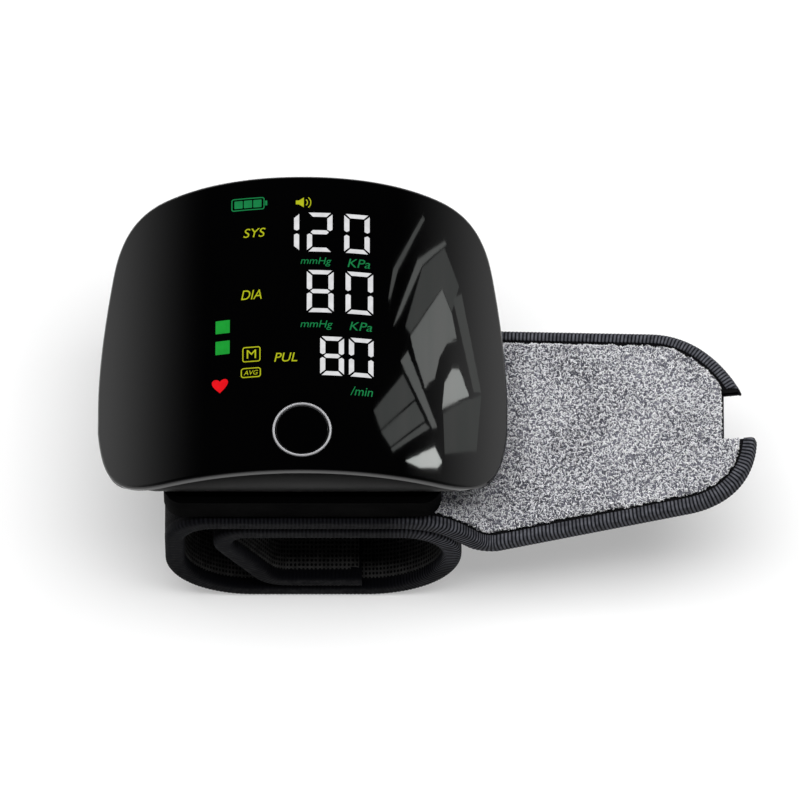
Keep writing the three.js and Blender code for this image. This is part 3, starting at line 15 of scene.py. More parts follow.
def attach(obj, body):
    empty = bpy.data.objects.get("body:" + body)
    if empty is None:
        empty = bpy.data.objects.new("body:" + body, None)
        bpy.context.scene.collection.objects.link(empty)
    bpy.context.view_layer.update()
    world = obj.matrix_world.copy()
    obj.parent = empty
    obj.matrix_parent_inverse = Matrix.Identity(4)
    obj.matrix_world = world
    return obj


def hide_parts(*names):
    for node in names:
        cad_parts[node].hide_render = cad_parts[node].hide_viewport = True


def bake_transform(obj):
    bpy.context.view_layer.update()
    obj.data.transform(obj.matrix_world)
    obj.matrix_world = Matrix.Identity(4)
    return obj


MM = 0.001

# Panel, seen from above
PANEL_HALF = 42.2
PANEL_LENGTH = 66.3
PANEL_NEAR_Y = -25.0
NEAR_CORNER_ACROSS = 14.2
NEAR_CORNER_ALONG = 16.0
SIDE_STRAIGHT = 6.0
SHOULDER_IN = 2.9
SHOULDER_DROP = 16.7
FAR_CORNER_ACROSS = 14.1
FAR_CORNER_DROP = 2.2
FAR_FLAT = 12.0
NEAR_CORNER_LEAD = 0.26
NEAR_CORNER_LEAN = 0.08
NEAR_CORNER_RISE = 0.3
SIDE_LEAD = 0.33
SHOULDER_LEAD = 0.48
FAR_CORNER_LEAD = 0.5
FAR_CORNER_RISE = 0.8
OUTLINE_STEPS = 26
CORNER_STEPS = 8

# Panel and shell, seen along the wrist
CROWN_RADIUS = 60.0
CROWN_AXIS_Z = -2.16
LENS = 1.6
LENS_BAND = 1.0
LENS_ROUND = 0.7
HOLE_ROUND = 0.1
RIM_RADIUS = 58.0
RIM_INSET = 0.7
LOBE_RADIUS = 54.52
SHELL_Z = 44.44
SHELL_WALL = 1.6
SHELL_ROUND = 1.5
SHELL_BAND = 1.9
SHELL_TUCK = 2.7
TUCK_PLACES = (27.0, 37.0)
SHELL_OPENING = (-26.8, 26.8, -20.1, 31.6)
SHELL_OPENING_CORNER = 4.0
PANEL_SLICE = 1.1
PANEL_SLICE_ALONG = 3.0

# Start button and its ring
BUTTON_Y = -15.9
BUTTON_RADIUS = 5.35
BUTTON_TOP = 57.72
BUTTON_DISH = 0.1
BUTTON_FACE_RADII = (0, 1, 2, 3, 4, 4.7)
BUTTON_ROUND = 0.22
BUTTON_EASE = 0.06
FLANGE_RADIUS = 6.4
FLANGE_TOP_Z = 55.59
FLANGE_Z = 54.79
STEM_RADIUS = 2.0
STEM_Z = 54.39
RING_INNER = 5.55
RING_OUTER = 6.0
RING_ROOM = 0.12
RING_RAISE = 0.08
RING_FOOT_Z = 55.9
RING_ARCH_POINTS = 9
ROUND_STEPS = 96

# Display: lit marks in the panel's face; y is measured from the panel's near edge
MARK_DEPTH = 0.05
MARK_RAISE = 0.015
MARK_SLICE = 1.2
STROKE = 1.05
BAR = 0.92
BREAK = 0.32
SIDE_POINT = 0.45
MIDDLE_POINT = 0.7
MIDDLE_CORNER = 1.15
SEGMENTS = {
    "0": "abcdef",
    "1": "bc",
    "2": "abged",
    "8": "abcdefg",
}
DIGITS = (
    ("1", -5.9, -0.7, 49.1, 57.9),
    ("2", 0.9, 6.1, 49.1, 57.9),
    ("0", 8.5, 13.7, 49.1, 57.9),
    ("8", 0.9, 6.35, 35.4, 44.9),
    ("0", 8.8, 14.4, 35.4, 44.9),
    ("8", 3.65, 8.5, 21.3, 30.0),
    ("0", 9.5, 14.5, 21.3, 30.0),
)
LABELS = (
    ("SYS", -12.1, -7.6, 52.7, 54.7),
    ("DIA", -12.5, -8.3, 38.7, 40.8),
    ("PUL", -5.7, -1.0, 24.3, 26.3),
    ("M", -11.3, -9.4, 25.4, 27.3),
    ("AVG", -11.9, -9.0, 21.7, 22.7),
)
UNITS = (
    ("mmHg", -0.4, 5.9, 45.8, 47.8),
    ("KPa", 9.2, 13.8, 45.9, 47.8),
    ("mmHg", -0.4, 6.2, 31.5, 33.6),
    ("KPa", 9.6, 14.2, 31.7, 33.6),
    ("/min", 9.8, 14.4, 17.1, 19.1),
)
SLANT = 0.22
LETTER_STEPS = 6
LABEL_FRAMES = ((-12.2, -8.5, 24.6, 28.0, 0.5), (-12.5, -8.4, 21.1, 23.3, 0.6))
FRAME_LINE = 0.22
LEVELS = ((-17.7, -14.8, 31.6, 34.5), (-17.7, -14.8, 26.9, 29.9))
LEVEL_CORNER = 0.12
HEART = (-18.4, -15.1, 18.2, 21.3)
HEART_STEPS = 48
SOUND = (-1.4, 2.0, 59.1, 61.3)
SOUND_CONE = ((0, -0.4), (0.18, -0.4), (0.48, -1), (0.48, 1), (0.18, 0.4), (0, 0.4))
SOUND_WAVE_X = 0.45
SOUND_WAVE_RADII = (0.22, 0.42)
SOUND_WAVE = 0.2
SOUND_WAVE_TURN = 48
SOUND_WAVE_STEPS = 10
CHARGE = (-14.6, -7.8, 58.9, 61.7)
CHARGE_CORNER = 0.5
CHARGE_MARGIN = 0.5
CHARGE_CELLS = 3
CHARGE_GAP = 0.12
CHARGE_CELL_INSET = 0.55
CHARGE_CELL_CORNER = 0.15
CHARGE_KNOB = 0.55
CHARGE_KNOB_INSET = 0.85
CHARGE_KNOB_CORNER = 0.1

# Strap: half thickness out to its faces, and the tape folded over its edges
STRAP_FACE = 2.05
TAPE_FACE = 2.0
TAPE = 0.35
TAPE_LAP = 2.2
TAPE_ROUND = 0.9
TAPE_ACROSS = 14
# Where the edge tape's painted light grows, along x and in height: painted shade below the first place, full
# painted light above the second
TAPE_FADE = (17.0, 30.0)
TAPE_FADE_Z = (11.0, 21.0)
RIB_PITCH = 0.8
RIB_DEPTH = 0.07
RIB_STEPS = 5
CLOTH_INSET = 0.5
CLOTH_BACK = 0.85
CLOTH_UNDER_TAPE = 1.5
CLOTH_TUCK_START = 1.6
CLOTH_TUCK = 1.4
CLOTH_RIPPLE = 0.1
CLOTH_UNEVEN = (0.11, 0.16, 3.0)
CLOTH_STEP = 1.2
PITCH = 4.4
LINE_STEP = 0.1

# The rolled loop, seen along the wrist; bends are measured at the middle of the strap
LOOP_LEFT = 28.3
LOOP_RIGHT = 32.6
TOP_TURN_Z = 34.45
SECOND_TURN_Z = TOP_TURN_Z - PITCH
LEFT_TOP_BEND = 8.0
LEFT_FOOT_BEND = 15.8
RIGHT_TOP_BEND = 10.4
FLAP_LEFT = 18.4
FLAP_TOP_BEND = 5.0
FLAP_FOOT_BEND = 6.0
FLAP_LEAN = math.radians(61)
INNER_END_X = 12.0
CUFF_EDGES = (-27.0, 31.0)

# Tail; pairs are for its near and far sides
SHOULDER_TURN = math.radians(50)
SHOULDER_RUN = 5.2
VALLEY_BEND = 5.0
TAIL_SLOPE = math.radians(13)
TAIL_LENGTH = 54.4
TAIL_SPARE = 2
TAIL_EDGES = (-27.0, 21.7)
TAIL_NARROWING = 4.2
TAIL_TIP_Y = -7.0
TIP_LENGTHS = (14.4, 21.4)
TIP_LEADS = (0.55, 0.66)
TIP_ROUNDS = (0.64, 0.25)
TAPER_START = 12.0
NOTCH_EDGES = (-8.25, 3.05)
NOTCH_DEPTH = 7.0
BACKING_LAP = 1.0
BACKING_SLICE = 1.5

# Pile on the tail, and the hooks under it; densities are a square millimetre
PILE_START = 2.0
PILE_TOP = 2.35
PILE_INSET = 3.1
PILE_UNDER = 0.06
PILE_ROOT = 1.2
PILE_EDGE = 0.7
PILE_RAGGED = 0.5
PILE_UNEVEN = (0.8, 0.12, 5.0)
PILE_SLICE = 1.5
PILE_SLICE_ACROSS = 2.0
PILE_CLOUD = 13.0
PILE_CLOUD_SPAN = (0.36, 0.64)
PILE_DENSITIES = {"pile_light": (3.5, 3.5), "pile_pale": (3.2, 3.2), "pile_dark": (0.4, 4.4)}
YARN_SIDES = 3
LOOP_REACH = 0.27
LOOP_YARN = 0.105
LOOP_ARC = math.radians(210)
LOOP_STEPS = 3
LOOP_LEAN = 0.9
LOOP_SIZES = (0.7, 1.3)
LOOP_SEED = 5
LOOP_SEED_STEP = 7
HOOK_START = 17.0
HOOK_END = 44.0
HOOK_MARGIN = 4.5
HOOK_CORNER = 6
HOOK_PATCH = 0.8
HOOK_SHEET = 0.6
HOOK_ROOT = 0.2
HOOK_SHEET_ROUND = 0.2
HOOK_SLICE = 3
HOOK_REACH = 0.28
HOOK_YARN = 0.09
HOOK_ARC = math.radians(150)
HOOK_STEPS = 4
HOOK_LEAN = 0.2
HOOK_SIZES = (0.9, 1.1)
HOOK_DENSITIES = (1.3, 1.3)
HOOK_SEED = 31

# Finishes
NOISE_SPAN = (0.3, 0.7)
PATCH = 9.0
SCRATCH = 0.08
SCRATCH_STRETCH = 14
NYLON_THREAD = 0.42
MESH_CELL = (0.85, 1.0)
TAPE_THREAD = 0.28
YARN_CLOUD = 11.0

# Studio: the lamp and the camera's place in metres, the rest in millimetres;
# the window's panes are laid out on the panel, where they are mirrored
FLOOR_HALF = 4000
FLOOR_TONE = 0.60
FLOOR_GLOW = 0.36
SKY_DARK_HEIGHT = 0.72
SKY_DARK_LEVEL = 0.004
SKY_NEAR = (-0.5, 0.2)
SKY_NEAR_LEVEL = 0.25
KEY_SIZE = (2.2, 1.1)
KEY_WATTS = 54.0
KEY_PLACE = (0.15, 0.0, 2.0)
CAMERA_DISTANCE = 3.0
CAMERA_AIM = Vector((0.0199, 0.0008, 0.036))
CAMERA_ELEVATION = math.radians(65)
CAMERA_CLIP = 0.01
FIELD_WIDTH = 0.1639
SENSOR = 36.0
CARD_DISTANCE = 500.0
PANE_SLICE = 1.0
PANE_SLICE_ALONG = 1.5
PANE_CLOUD = 60.0
WINDOW_PANES = (
    (
        3.0,
        ((22, 7), (28.5, 19), (30.5, 14), (31.5, 8.5), (29.5, 7), (28, 3.5), (27, -1.5), (25, -4), (23, 2.5)),
    ),
    (2.4, ((20, 1), (21.5, 3.5), (27.5, -12.5), (26.5, -13))),
    (1.3, ((14.5, -11), (20.5, -2), (23, -7), (16, -15))),
    (1.5, ((16, -15.5), (23, -7.6), (25, -11.5), (18, -18.5))),
    (1.7, ((18, -19), (25, -12.1), (26, -13), (18.5, -19.6))),
    (12.0, ((21, -21.3), (27, -17), (28.5, -20), (27.5, -21.5), (24, -22.3))),
    (6.5, ((28.5, -8), (29, -2), (30.5, 1.5), (32, 2), (34, -3.5))),
    (2.2, ((18.5, 8.5), (19.5, 12), (23.5, 24.5), (29, 30), (29.5, 29.5), (24.5, 23.5), (20, 11.5))),
    (1.6, ((17.5, 14.5), (18.5, 21.5), (24.5, 34.5), (25, 34), (19.5, 21.5), (18, 15))),
    (1.2, ((21, 9), (24.5, 23), (29, 28.5), (32, 20.5), (30.5, 14.5), (28.5, 19.3), (22, 7.6))),
    (1.4, ((30.7, 17.5), (32.5, 19), (36.5, -2), (35, -2.5))),
    (1.2, ((28.7, -9), (34, -4.2), (36.5, -2.8), (35.5, -15.5), (29, -18))),
)

# Nearness, in millimetres
MERGE = 1e-3
FINE_MERGE = 1e-4
LETTER_MERGE = 1e-5
NEAR = 0.01
OPENING_ROOM = 0.1

# Worked out from the sizes above
RIGHT_BEND_X = LOOP_RIGHT - STRAP_FACE - RIGHT_TOP_BEND
RIGHT_FOOT_BEND = SECOND_TURN_Z - RIGHT_TOP_BEND - STRAP_FACE
LEFT_BEND_X = STRAP_FACE + LEFT_TOP_BEND - LOOP_LEFT
LEFT_FOOT_X = STRAP_FACE + LEFT_FOOT_BEND - LOOP_LEFT
RIGHT_FOOT_X = LOOP_RIGHT - STRAP_FACE - RIGHT_FOOT_BEND
FLAP_BEND_X = STRAP_FACE + FLAP_TOP_BEND - FLAP_LEFT
FLAP_TOP_TURN = math.pi - FLAP_LEAN
FLAP_DROP = SECOND_TURN_Z - FLAP_TOP_BEND * (1 - math.cos(FLAP_TOP_TURN))
FLAP_FOOT_Z = STRAP_FACE + PITCH + FLAP_FOOT_BEND * (1 - math.cos(FLAP_LEAN))
FLAP_RUN = (FLAP_DROP - FLAP_FOOT_Z) / math.sin(FLAP_LEAN)
FLAP_END_X = FLAP_BEND_X - FLAP_TOP_BEND * math.sin(FLAP_TOP_TURN) + FLAP_RUN * math.cos(FLAP_LEAN)
SHOULDER_BEND = RIGHT_TOP_BEND + PITCH
VALLEY_TURN = SHOULDER_TURN + TAIL_SLOPE
PIVOT_REACH = SHOULDER_BEND * SHOULDER_TURN + SHOULDER_RUN + VALLEY_BEND * VALLEY_TURN
TIP_REACH = PIVOT_REACH + TAIL_LENGTH
NOTCH_REACH = TIP_REACH - NOTCH_DEPTH
CUFF_WIDTH = CUFF_EDGES[1] - CUFF_EDGES[0]

scene = bpy.context.scene
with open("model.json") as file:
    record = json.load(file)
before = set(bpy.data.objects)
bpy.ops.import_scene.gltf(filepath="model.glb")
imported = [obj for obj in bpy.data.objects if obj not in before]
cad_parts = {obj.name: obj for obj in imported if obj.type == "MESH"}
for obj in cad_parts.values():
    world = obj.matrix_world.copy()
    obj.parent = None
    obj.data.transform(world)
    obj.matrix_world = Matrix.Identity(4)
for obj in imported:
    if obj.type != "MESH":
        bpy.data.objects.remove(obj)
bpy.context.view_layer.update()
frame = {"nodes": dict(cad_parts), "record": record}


# Helpers for nodes


def add_node(tree, kind, settings=None, **inputs):
    """Adds a node. An input goes by its name, or by n and its number, and may be another node's socket."""
    made = tree.nodes.new(kind)
    for key, value in (settings or {}).items():
        setattr(made, key, value)
    for key, value in inputs.items():
        numbered = key[0] == "n" and key[1:].isdigit()
        socket = made.inputs[int(key[1:]) if numbered else key.replace("_", " ")]
        if isinstance(value, bpy.types.NodeSocket):
            tree.links.new(value, socket)
        else:
            socket.default_value = value
    return made


def new_material(name, **values):
    material = bpy.data.materials.new(name)
    material.use_nodes = True
    tree = material.node_tree
    shader = tree.nodes["Principled BSDF"]
    for key, value in values.items():
        shader.inputs[key.replace("_", " ")].default_value = value
    return material, tree, shader


def drive(tree, shader, **values):
    """Links other nodes' sockets to a shader's inputs."""
    for key, value in values.items():
        tree.links.new(value, shader.inputs[key.replace("_", " ")])


def object_place(tree):
    return add_node(tree, "ShaderNodeTexCoord").outputs["Object"]


def cloth_place(tree):
    return add_node(tree, "ShaderNodeUVMap", {"uv_map": "cloth"}).outputs["UV"]


def noise_at(tree, place, scale, detail):
    return add_node(tree, "ShaderNodeTexNoise", Vector=place, Scale=scale, Detail=detail).outputs["Fac"]


def speckle(tree, place, size, detail):
    """Noise whose grains are about that many millimetres across, read at a place in metres."""
    return noise_at(tree, place, 1 / (size * MM), detail)


def shade(colour, share):
    return tuple(min(1.0, c * share) for c in colour)


def blend_colours(tree, factor, first, second):
    colours = {"n6": (*first, 1.0), "n7": (*second, 1.0)}
    return add_node(tree, "ShaderNodeMix", {"data_type": "RGBA"}, n0=factor, **colours).outputs[2]


def spread(tree, value, low, high, to_low=0.0, to_high=1.0, way="LINEAR"):
    """Maps a value from one span to another, and holds it inside."""
    settings = {"interpolation_type": way}
    limits = {"From_Min": low, "From_Max": high, "To_Min": to_low, "To_Max": to_high}
    return add_node(tree, "ShaderNodeMapRange", settings, Value=value, **limits).outputs["Result"]


def vary(tree, grains, low=0.0, high=1.0):
    """Spreads noise, most of which lies in the noise's span, between two values."""
    return spread(tree, grains, *NOISE_SPAN, low, high)


def work_out(tree, operation, first, second=0.5):
    return add_node(tree, "ShaderNodeMath", {"operation": operation}, n0=first, n1=second).outputs[0]


def bump(tree, shader, height, depth):
    """Raises the surface by a height from 0 to 1, times a depth in millimetres."""
    made = add_node(tree, "ShaderNodeBump", Height=height, Distance=depth * MM, Strength=1.0)
    drive(tree, shader, Normal=made.outputs["Normal"])


# Materials


def moulded(name, colour, roughness, grain=0.25, depth=0.012, contrast=0.25, **values):
    """Moulded plastic or rubber: fine grain, soft patches of tone and of gloss."""
    material, tree, shader = new_material(name, **values)
    place = object_place(tree)
    fine = speckle(tree, place, grain, 3)
    broad = speckle(tree, place, PATCH, 4)
    tone = spread(tree, work_out(tree, "ADD", fine, broad), 0.7, 1.3)
    tones = blend_colours(tree, tone, shade(colour, 1 - contrast), shade(colour, 1 + contrast))
    gloss = vary(tree, broad, roughness * 0.85, min(1.0, roughness * 1.15))
    drive(tree, shader, Base_Color=tones, Roughness=gloss)
    bump(tree, shader, fine, depth)
    return material


def brushed(name, colour, roughness, metal=1.0):
    """Metal or metal paint with fine scratches along one direction."""
    material, tree, shader = new_material(name, Metallic=metal)
    stretch = (1, SCRATCH_STRETCH, SCRATCH_STRETCH)
    turned = add_node(tree, "ShaderNodeMapping", Vector=object_place(tree), Scale=stretch)
    lines = speckle(tree, turned.outputs["Vector"], SCRATCH * SCRATCH_STRETCH, 3)
    broad = speckle(tree, object_place(tree), 5.0, 3)
    tones = blend_colours(tree, lines, shade(colour, 0.8), colour)
    gloss = vary(tree, broad, roughness * 0.7, roughness * 1.3)
    drive(tree, shader, Base_Color=tones, Roughness=gloss)
    bump(tree, shader, lines, 0.004)
    return material


def polished_black(name):
    """Glossy black panel: almost a mirror, with the faintest uneven patches of gloss."""
    material, tree, shader = new_material(name, IOR=1.49)
    place = object_place(tree)
    broad = speckle(tree, place, 22.0, 0)
    patches = speckle(tree, place, 9.0, 1)
    tones = blend_colours(tree, broad, (0.0003, 0.0003, 0.0004), (0.0008, 0.0008, 0.0009))
    gloss = spread(tree, patches, 0.35, 0.75, 0.014, 0.024)
    drive(tree, shader, Base_Color=tones, Roughness=gloss)
    bump(tree, shader, broad, 0.003)
    return material


def lit(name, colour, strength):
    """A lit mark behind the gloss: brighter in patches, with the panel's own gloss over it."""
    material, tree, shader = new_material(
        name, Emission_Strength=strength, Roughness=0.3, Coat_Weight=1.0, Coat_Roughness=0.03
    )
    patches = spread(tree, speckle(tree, object_place(tree), 1.6, 2), 0.25, 0.75)
    glow = blend_colours(tree, patches, shade(colour, 0.82), colour)
    unlit = blend_colours(tree, patches, shade(colour, 0.07), shade(colour, 0.1))
    drive(tree, shader, Emission_Color=glow, Base_Color=unlit)
    return material


def thread_waves(tree, place, along, across):
    """Heights of two sets of threads, from a place in millimetres on the cloth."""
    parts = add_node(tree, "ShaderNodeSeparateXYZ", Vector=place)
    waves = []
    for axis, pitch in (("X", along), ("Y", across)):
        turn = work_out(tree, "MULTIPLY", parts.outputs[axis], 2 * math.pi / pitch)
        waves.append(spread(tree, work_out(tree, "SINE", turn), -1, 1))
    return waves


def nylon(name, colour):
    """Black nylon cloth: a fine close weave, soft sheen, faint slubs."""
    material, tree, shader = new_material(name, Specular_IOR_Level=0.04)
    place = cloth_place(tree)
    weave = work_out(tree, "MULTIPLY", *thread_waves(tree, place, NYLON_THREAD, NYLON_THREAD))
    broad = noise_at(tree, place, 0.22, 5.0)
    slub = noise_at(tree, place, 2.6, 3.0)
    tone = spread(tree, work_out(tree, "ADD", weave, broad), 0.2, 1.4)
    tones = blend_colours(tree, tone, colour, shade(colour, 2.4))
    drive(tree, shader, Base_Color=tones, Roughness=vary(tree, slub, 0.58, 0.8))
    bump(tree, shader, work_out(tree, "ADD", weave, slub), 0.05)
    return material


def open_mesh(name, dark, light):
    """Dark knitted mesh: rows of small open cells between lighter threads."""
    material, tree, shader = new_material(name, Roughness=0.8, Specular_IOR_Level=0.02)
    place = cloth_place(tree)
    cell = work_out(tree, "MULTIPLY", *thread_waves(tree, place, *MESH_CELL))
    thread = spread(tree, cell, 0.18, 0.5, 1.0, 0.0)
    uneven = noise_at(tree, place, 0.5, 4.0)
    fine = noise_at(tree, place, 5.0, 2.0)
    tone = work_out(tree, "MULTIPLY", thread, vary(tree, uneven, 0.45, 1.0))
    drive(tree, shader, Base_Color=blend_colours(tree, tone, dark, light))
    bump(tree, shader, work_out(tree, "ADD", thread, fine), 0.16)
    return material


def ribbed_tape(name, dark, light):
    """Edge tape: its ribs are in its shape. Here are the threads, a painted highlight on one flank of each
    rib, and painted light by place: shaded to the left and low down, lit towards the loop's right bend and
    along the tail.
    """
    material, tree, shader = new_material(name, Specular_IOR_Level=0.03)
    place = cloth_place(tree)
    rib, thread = thread_waves(tree, place, RIB_PITCH, TAPE_THREAD)
    uneven = noise_at(tree, place, 0.6, 5.0)
    tone = work_out(tree, "MULTIPLY", rib, vary(tree, uneven, 0.35, 1.0))
    # Painted light by place: the tape darkens to the left of the loop's right bend and low down, and is fully
    # lit at the bend, up high and along the tail
    spots = add_node(tree, "ShaderNodeSeparateXYZ", Vector=object_place(tree))
    for axis, (low, high), least in (("X", TAPE_FADE, 0.08), ("Z", TAPE_FADE_Z, 0.2)):
        painted_light = spread(tree, spots.outputs[axis], low * MM, high * MM, least, 1.0)
        tone = work_out(tree, "MULTIPLY", tone, painted_light)
    tones = blend_colours(tree, tone, dark, light)
    drive(tree, shader, Base_Color=tones, Roughness=vary(tree, uneven, 0.5, 0.75))
    bump(tree, shader, thread, 0.03)
    return material


def pile_yarn(name, dark, light):
    """Yarn of the loop pile: tone differs from loop to loop, and in soft clouds over the tail."""
    material, tree, shader = new_material(name, Roughness=0.85, Sheen_Weight=0.8, Sheen_Roughness=0.4)
    place = object_place(tree)
    clouds = spread(tree, speckle(tree, place, YARN_CLOUD, 3), 0.34, 0.62)
    loops = vary(tree, speckle(tree, place, 0.8, 2))
    parts = [work_out(tree, "MULTIPLY", part, share) for part, share in ((clouds, 0.45), (loops, 0.55))]
    tones = blend_colours(tree, work_out(tree, "ADD", *parts), dark, light)
    drive(tree, shader, Base_Color=tones)
    bump(tree, shader, speckle(tree, place, 0.12, 2), 0.03)
    return material


lens_black = polished_black("lens_black")
button_black = polished_black("button_black")
shell_grey = moulded(
    "shell_grey", (0.007, 0.007, 0.007), 0.48, grain=0.22, depth=0.008, Specular_IOR_Level=0.16
)
# Black plastic, but far darker than plastic is, so that the band under the panel's overhang renders as black
# as the shade there: partly its own black, partly painted shade
base_black = moulded(
    "base_black", (0.0009, 0.0009, 0.001), 0.6, grain=0.3, depth=0.012, Specular_IOR_Level=0.005
)
dark_plastic = moulded("dark_plastic", (0.02, 0.02, 0.021), 0.5)
white_plastic = moulded("white_plastic", (0.72, 0.72, 0.70), 0.5, contrast=0.08)
board_green = moulded("board_green", (0.012, 0.12, 0.05), 0.35, grain=0.6, depth=0.006)
soft_rubber = moulded("soft_rubber", (0.06, 0.06, 0.065), 0.8, grain=0.4, depth=0.02)
cell_sleeve = moulded("cell_sleeve", (0.02, 0.09, 0.27), 0.3, grain=1.5, depth=0.004)
steel = brushed("steel", (0.52, 0.53, 0.55), 0.3)
ring_silver = brushed("ring_silver", (0.86, 0.86, 0.89), 0.2, metal=0.55)
digit_white = lit("digit_white", (0.93, 0.93, 0.95), 0.78)
label_yellow = lit("label_yellow", (0.72, 0.78, 0.02), 0.6)
unit_green = lit("unit_green", (0.012, 0.26, 0.075), 0.8)
level_green = lit("level_green", (0.012, 0.33, 0.035), 1.0)
heart_red = lit("heart_red", (0.85, 0.006, 0.012), 0.95)
cover_nylon = nylon("cover_nylon", (0.0036, 0.0036, 0.0041))
lining_mesh = open_mesh("lining_mesh", (0.002, 0.002, 0.0022), (0.06, 0.06, 0.059))
# The tape runs from its dark tone to its light one rib by rib, in its painted highlights, and reaches the
# light one only where its painted light is full
edge_tape = ribbed_tape("edge_tape", (0.0018, 0.0019, 0.0028), (0.15, 0.154, 0.178))
pile_ground = pile_yarn("pile_ground", (0.05, 0.05, 0.065), (0.24, 0.24, 0.28))
pile_light = pile_yarn("pile_light", (0.82, 0.82, 0.86), (0.98, 0.98, 0.98))
pile_pale = pile_yarn("pile_pale", (0.42, 0.42, 0.46), (0.92, 0.92, 0.95))
pile_dark = pile_yarn("pile_dark", (0.009, 0.009, 0.015), (0.10, 0.10, 0.14))
hook_black = moulded("hook_black", (0.012, 0.012, 0.014), 0.45, grain=0.5, depth=0.03)

SLOT_FINISHES = {
    "base_black": base_black,
    "dark_plastic": dark_plastic,
    "white_plastic": white_plastic,
    "board_green": board_green,
    "steel": steel,
    "rubber_grey": soft_rubber,
    "cell_sleeve": cell_sleeve,
    "shell_grey": shell_grey,
    "gloss_black": lens_black,
    "ring_silver": ring_silver,
    "cuff_cloth": cover_nylon,
    "lining_mesh": lining_mesh,
    "edge_tape": edge_tape,
    "loop_pile": pile_ground,
}
for row in frame["record"]["subparts"]:
    mesh = frame["nodes"][row["node"]].data
    mesh.materials.clear()
    mesh.materials.append(SLOT_FINISHES[row["material_slot"]])


# Helpers for shapes


def smoothstep(share):
    share = min(1.0, max(0.0, share))
    return share * share * (3 - 2 * share)


def lerp(low, high, share):
    return low + (high - low) * share


def sheet_noise(x, y, scale_x, scale_y, layer):
    """Smooth noise between -1 and 1 over a flat sheet."""
    return noise.noise((x * scale_x, y * scale_y, layer))


def crown_z(radius, x):
    return CROWN_AXIS_Z + math.sqrt(radius * radius - x * x)


def curve_points(*corners):
    """Points on one Bezier curve, without its last point."""
    knots = [Vector((x, y)) for x, y in corners]
    return [(p.x, p.y) for p in geometry.interpolate_bezier(*knots, OUTLINE_STEPS)][:-1]


def inset_loop(points, inset):
    """The same closed outline, moved inwards; the outline runs counter-clockwise."""
    moved = []
    for i, (x, y) in enumerate(points):
        before, after = points[i - 1], points[(i + 1) % len(points)]
        first = Vector((before[1] - y, x - before[0])).normalized()
        second = Vector((y - after[1], after[0] - x)).normalized()
        step = (first + second) * inset / (1 + first.dot(second))
        moved.append((x + step.x, y + step.y))
    return moved


def circle_loop(x, y, radius):
    turns = [2 * math.pi * i / ROUND_STEPS for i in range(ROUND_STEPS)]
    return [(x + radius * math.cos(turn), y + radius * math.sin(turn)) for turn in turns]


def arc_points(x, y, radius, start, end, steps):
    turns = [math.radians(lerp(start, end, i / steps)) for i in range(steps + 1)]
    return [(x + radius * math.cos(turn), y + radius * math.sin(turn)) for turn in turns]


def rounded_loop(x0, x1, y0, y1, radius):
    centres = ((x1 - radius, y0 + radius, -90), (x1 - radius, y1 - radius, 0))
    centres += ((x0 + radius, y1 - radius, 90), (x0 + radius, y0 + radius, 180))
    loop = []
    for x, y, start in centres:
        loop += arc_points(x, y, radius, start, start + 90, CORNER_STEPS)
    return loop


def panel_outline(inset):
    half, top = PANEL_HALF, PANEL_LENGTH
    straight_end = NEAR_CORNER_ALONG + SIDE_STRAIGHT
    shoulder = (half - SHOULDER_IN, top - SHOULDER_DROP)
    corner = (half - FAR_CORNER_ACROSS, top - FAR_CORNER_DROP)
    lead = (FAR_CORNER_LEAD * FAR_CORNER_ACROSS, FAR_CORNER_RISE * FAR_CORNER_DROP)
    right = [(0.0, 0.0)]
    right += curve_points(
        (half - NEAR_CORNER_ACROSS, 0),
        (half - NEAR_CORNER_LEAD * NEAR_CORNER_ACROSS, 0),
        (half - NEAR_CORNER_LEAN * NEAR_CORNER_ACROSS, NEAR_CORNER_RISE * NEAR_CORNER_ALONG),
        (half, NEAR_CORNER_ALONG),
    )
    right.append((half, NEAR_CORNER_ALONG))
    right += curve_points(
        (half, straight_end),
        (half, lerp(straight_end, shoulder[1], SIDE_LEAD)),
        (shoulder[0] + SHOULDER_LEAD * SHOULDER_IN, shoulder[1] - SHOULDER_LEAD * SHOULDER_DROP),
        shoulder,
    )
    right += curve_points(
        shoulder,
        (shoulder[0] - SHOULDER_LEAD * SHOULDER_IN, shoulder[1] + SHOULDER_LEAD * SHOULDER_DROP),
        (corner[0] + lead[0], corner[1] - lead[1]),
        corner,
    )
    right += curve_points(corner, (corner[0] - lead[0], corner[1] + lead[1]), (FAR_FLAT, top), (0, top))
    left = [(-x, y) for x, y in reversed(right[1:])]
    loop = [(x, y + PANEL_NEAR_Y) for x, y in right + [(0.0, top)] + left]
    return inset_loop(loop, inset)


def plate(*loops):
    """A flat sheet inside the first loop and outside the others."""
    bm = bmesh.new()
    for loop in loops:
        corners = [bm.verts.new((x, y, 0)) for x, y in loop]
        for a, b in zip(corners, corners[1:] + corners[:1]):
            bm.edges.new((a, b))
    bmesh.ops.triangle_fill(bm, use_beauty=True, use_dissolve=False, edges=bm.edges[:])
    return bm


def slice_up(bm, *steps):
    """Cuts a sheet into strips along x, then along y, so that it can be bent."""
    for axis, step in enumerate(steps):
        places = [v.co[axis] for v in bm.verts]
        normal = Vector((axis == 0, axis == 1, 0))
        count = math.ceil((max(places) - min(places)) / step)
        for i in range(1, count):
            cut_at(bm, normal, lerp(min(places), max(places), i / count))


def cut_at(bm, normal, place, **clear):
    everything = bm.verts[:] + bm.edges[:] + bm.faces[:]
    bmesh.ops.bisect_plane(
        bm, geom=everything, dist=MERGE, plane_co=normal * place, plane_no=normal, **clear
    )


def cut_band(bm, width):
    """Cuts an even band along a sheet's edges."""
    even = {"use_boundary": True, "use_even_offset": True}
    bmesh.ops.inset_region(bm, faces=bm.faces[:], thickness=width, **even)


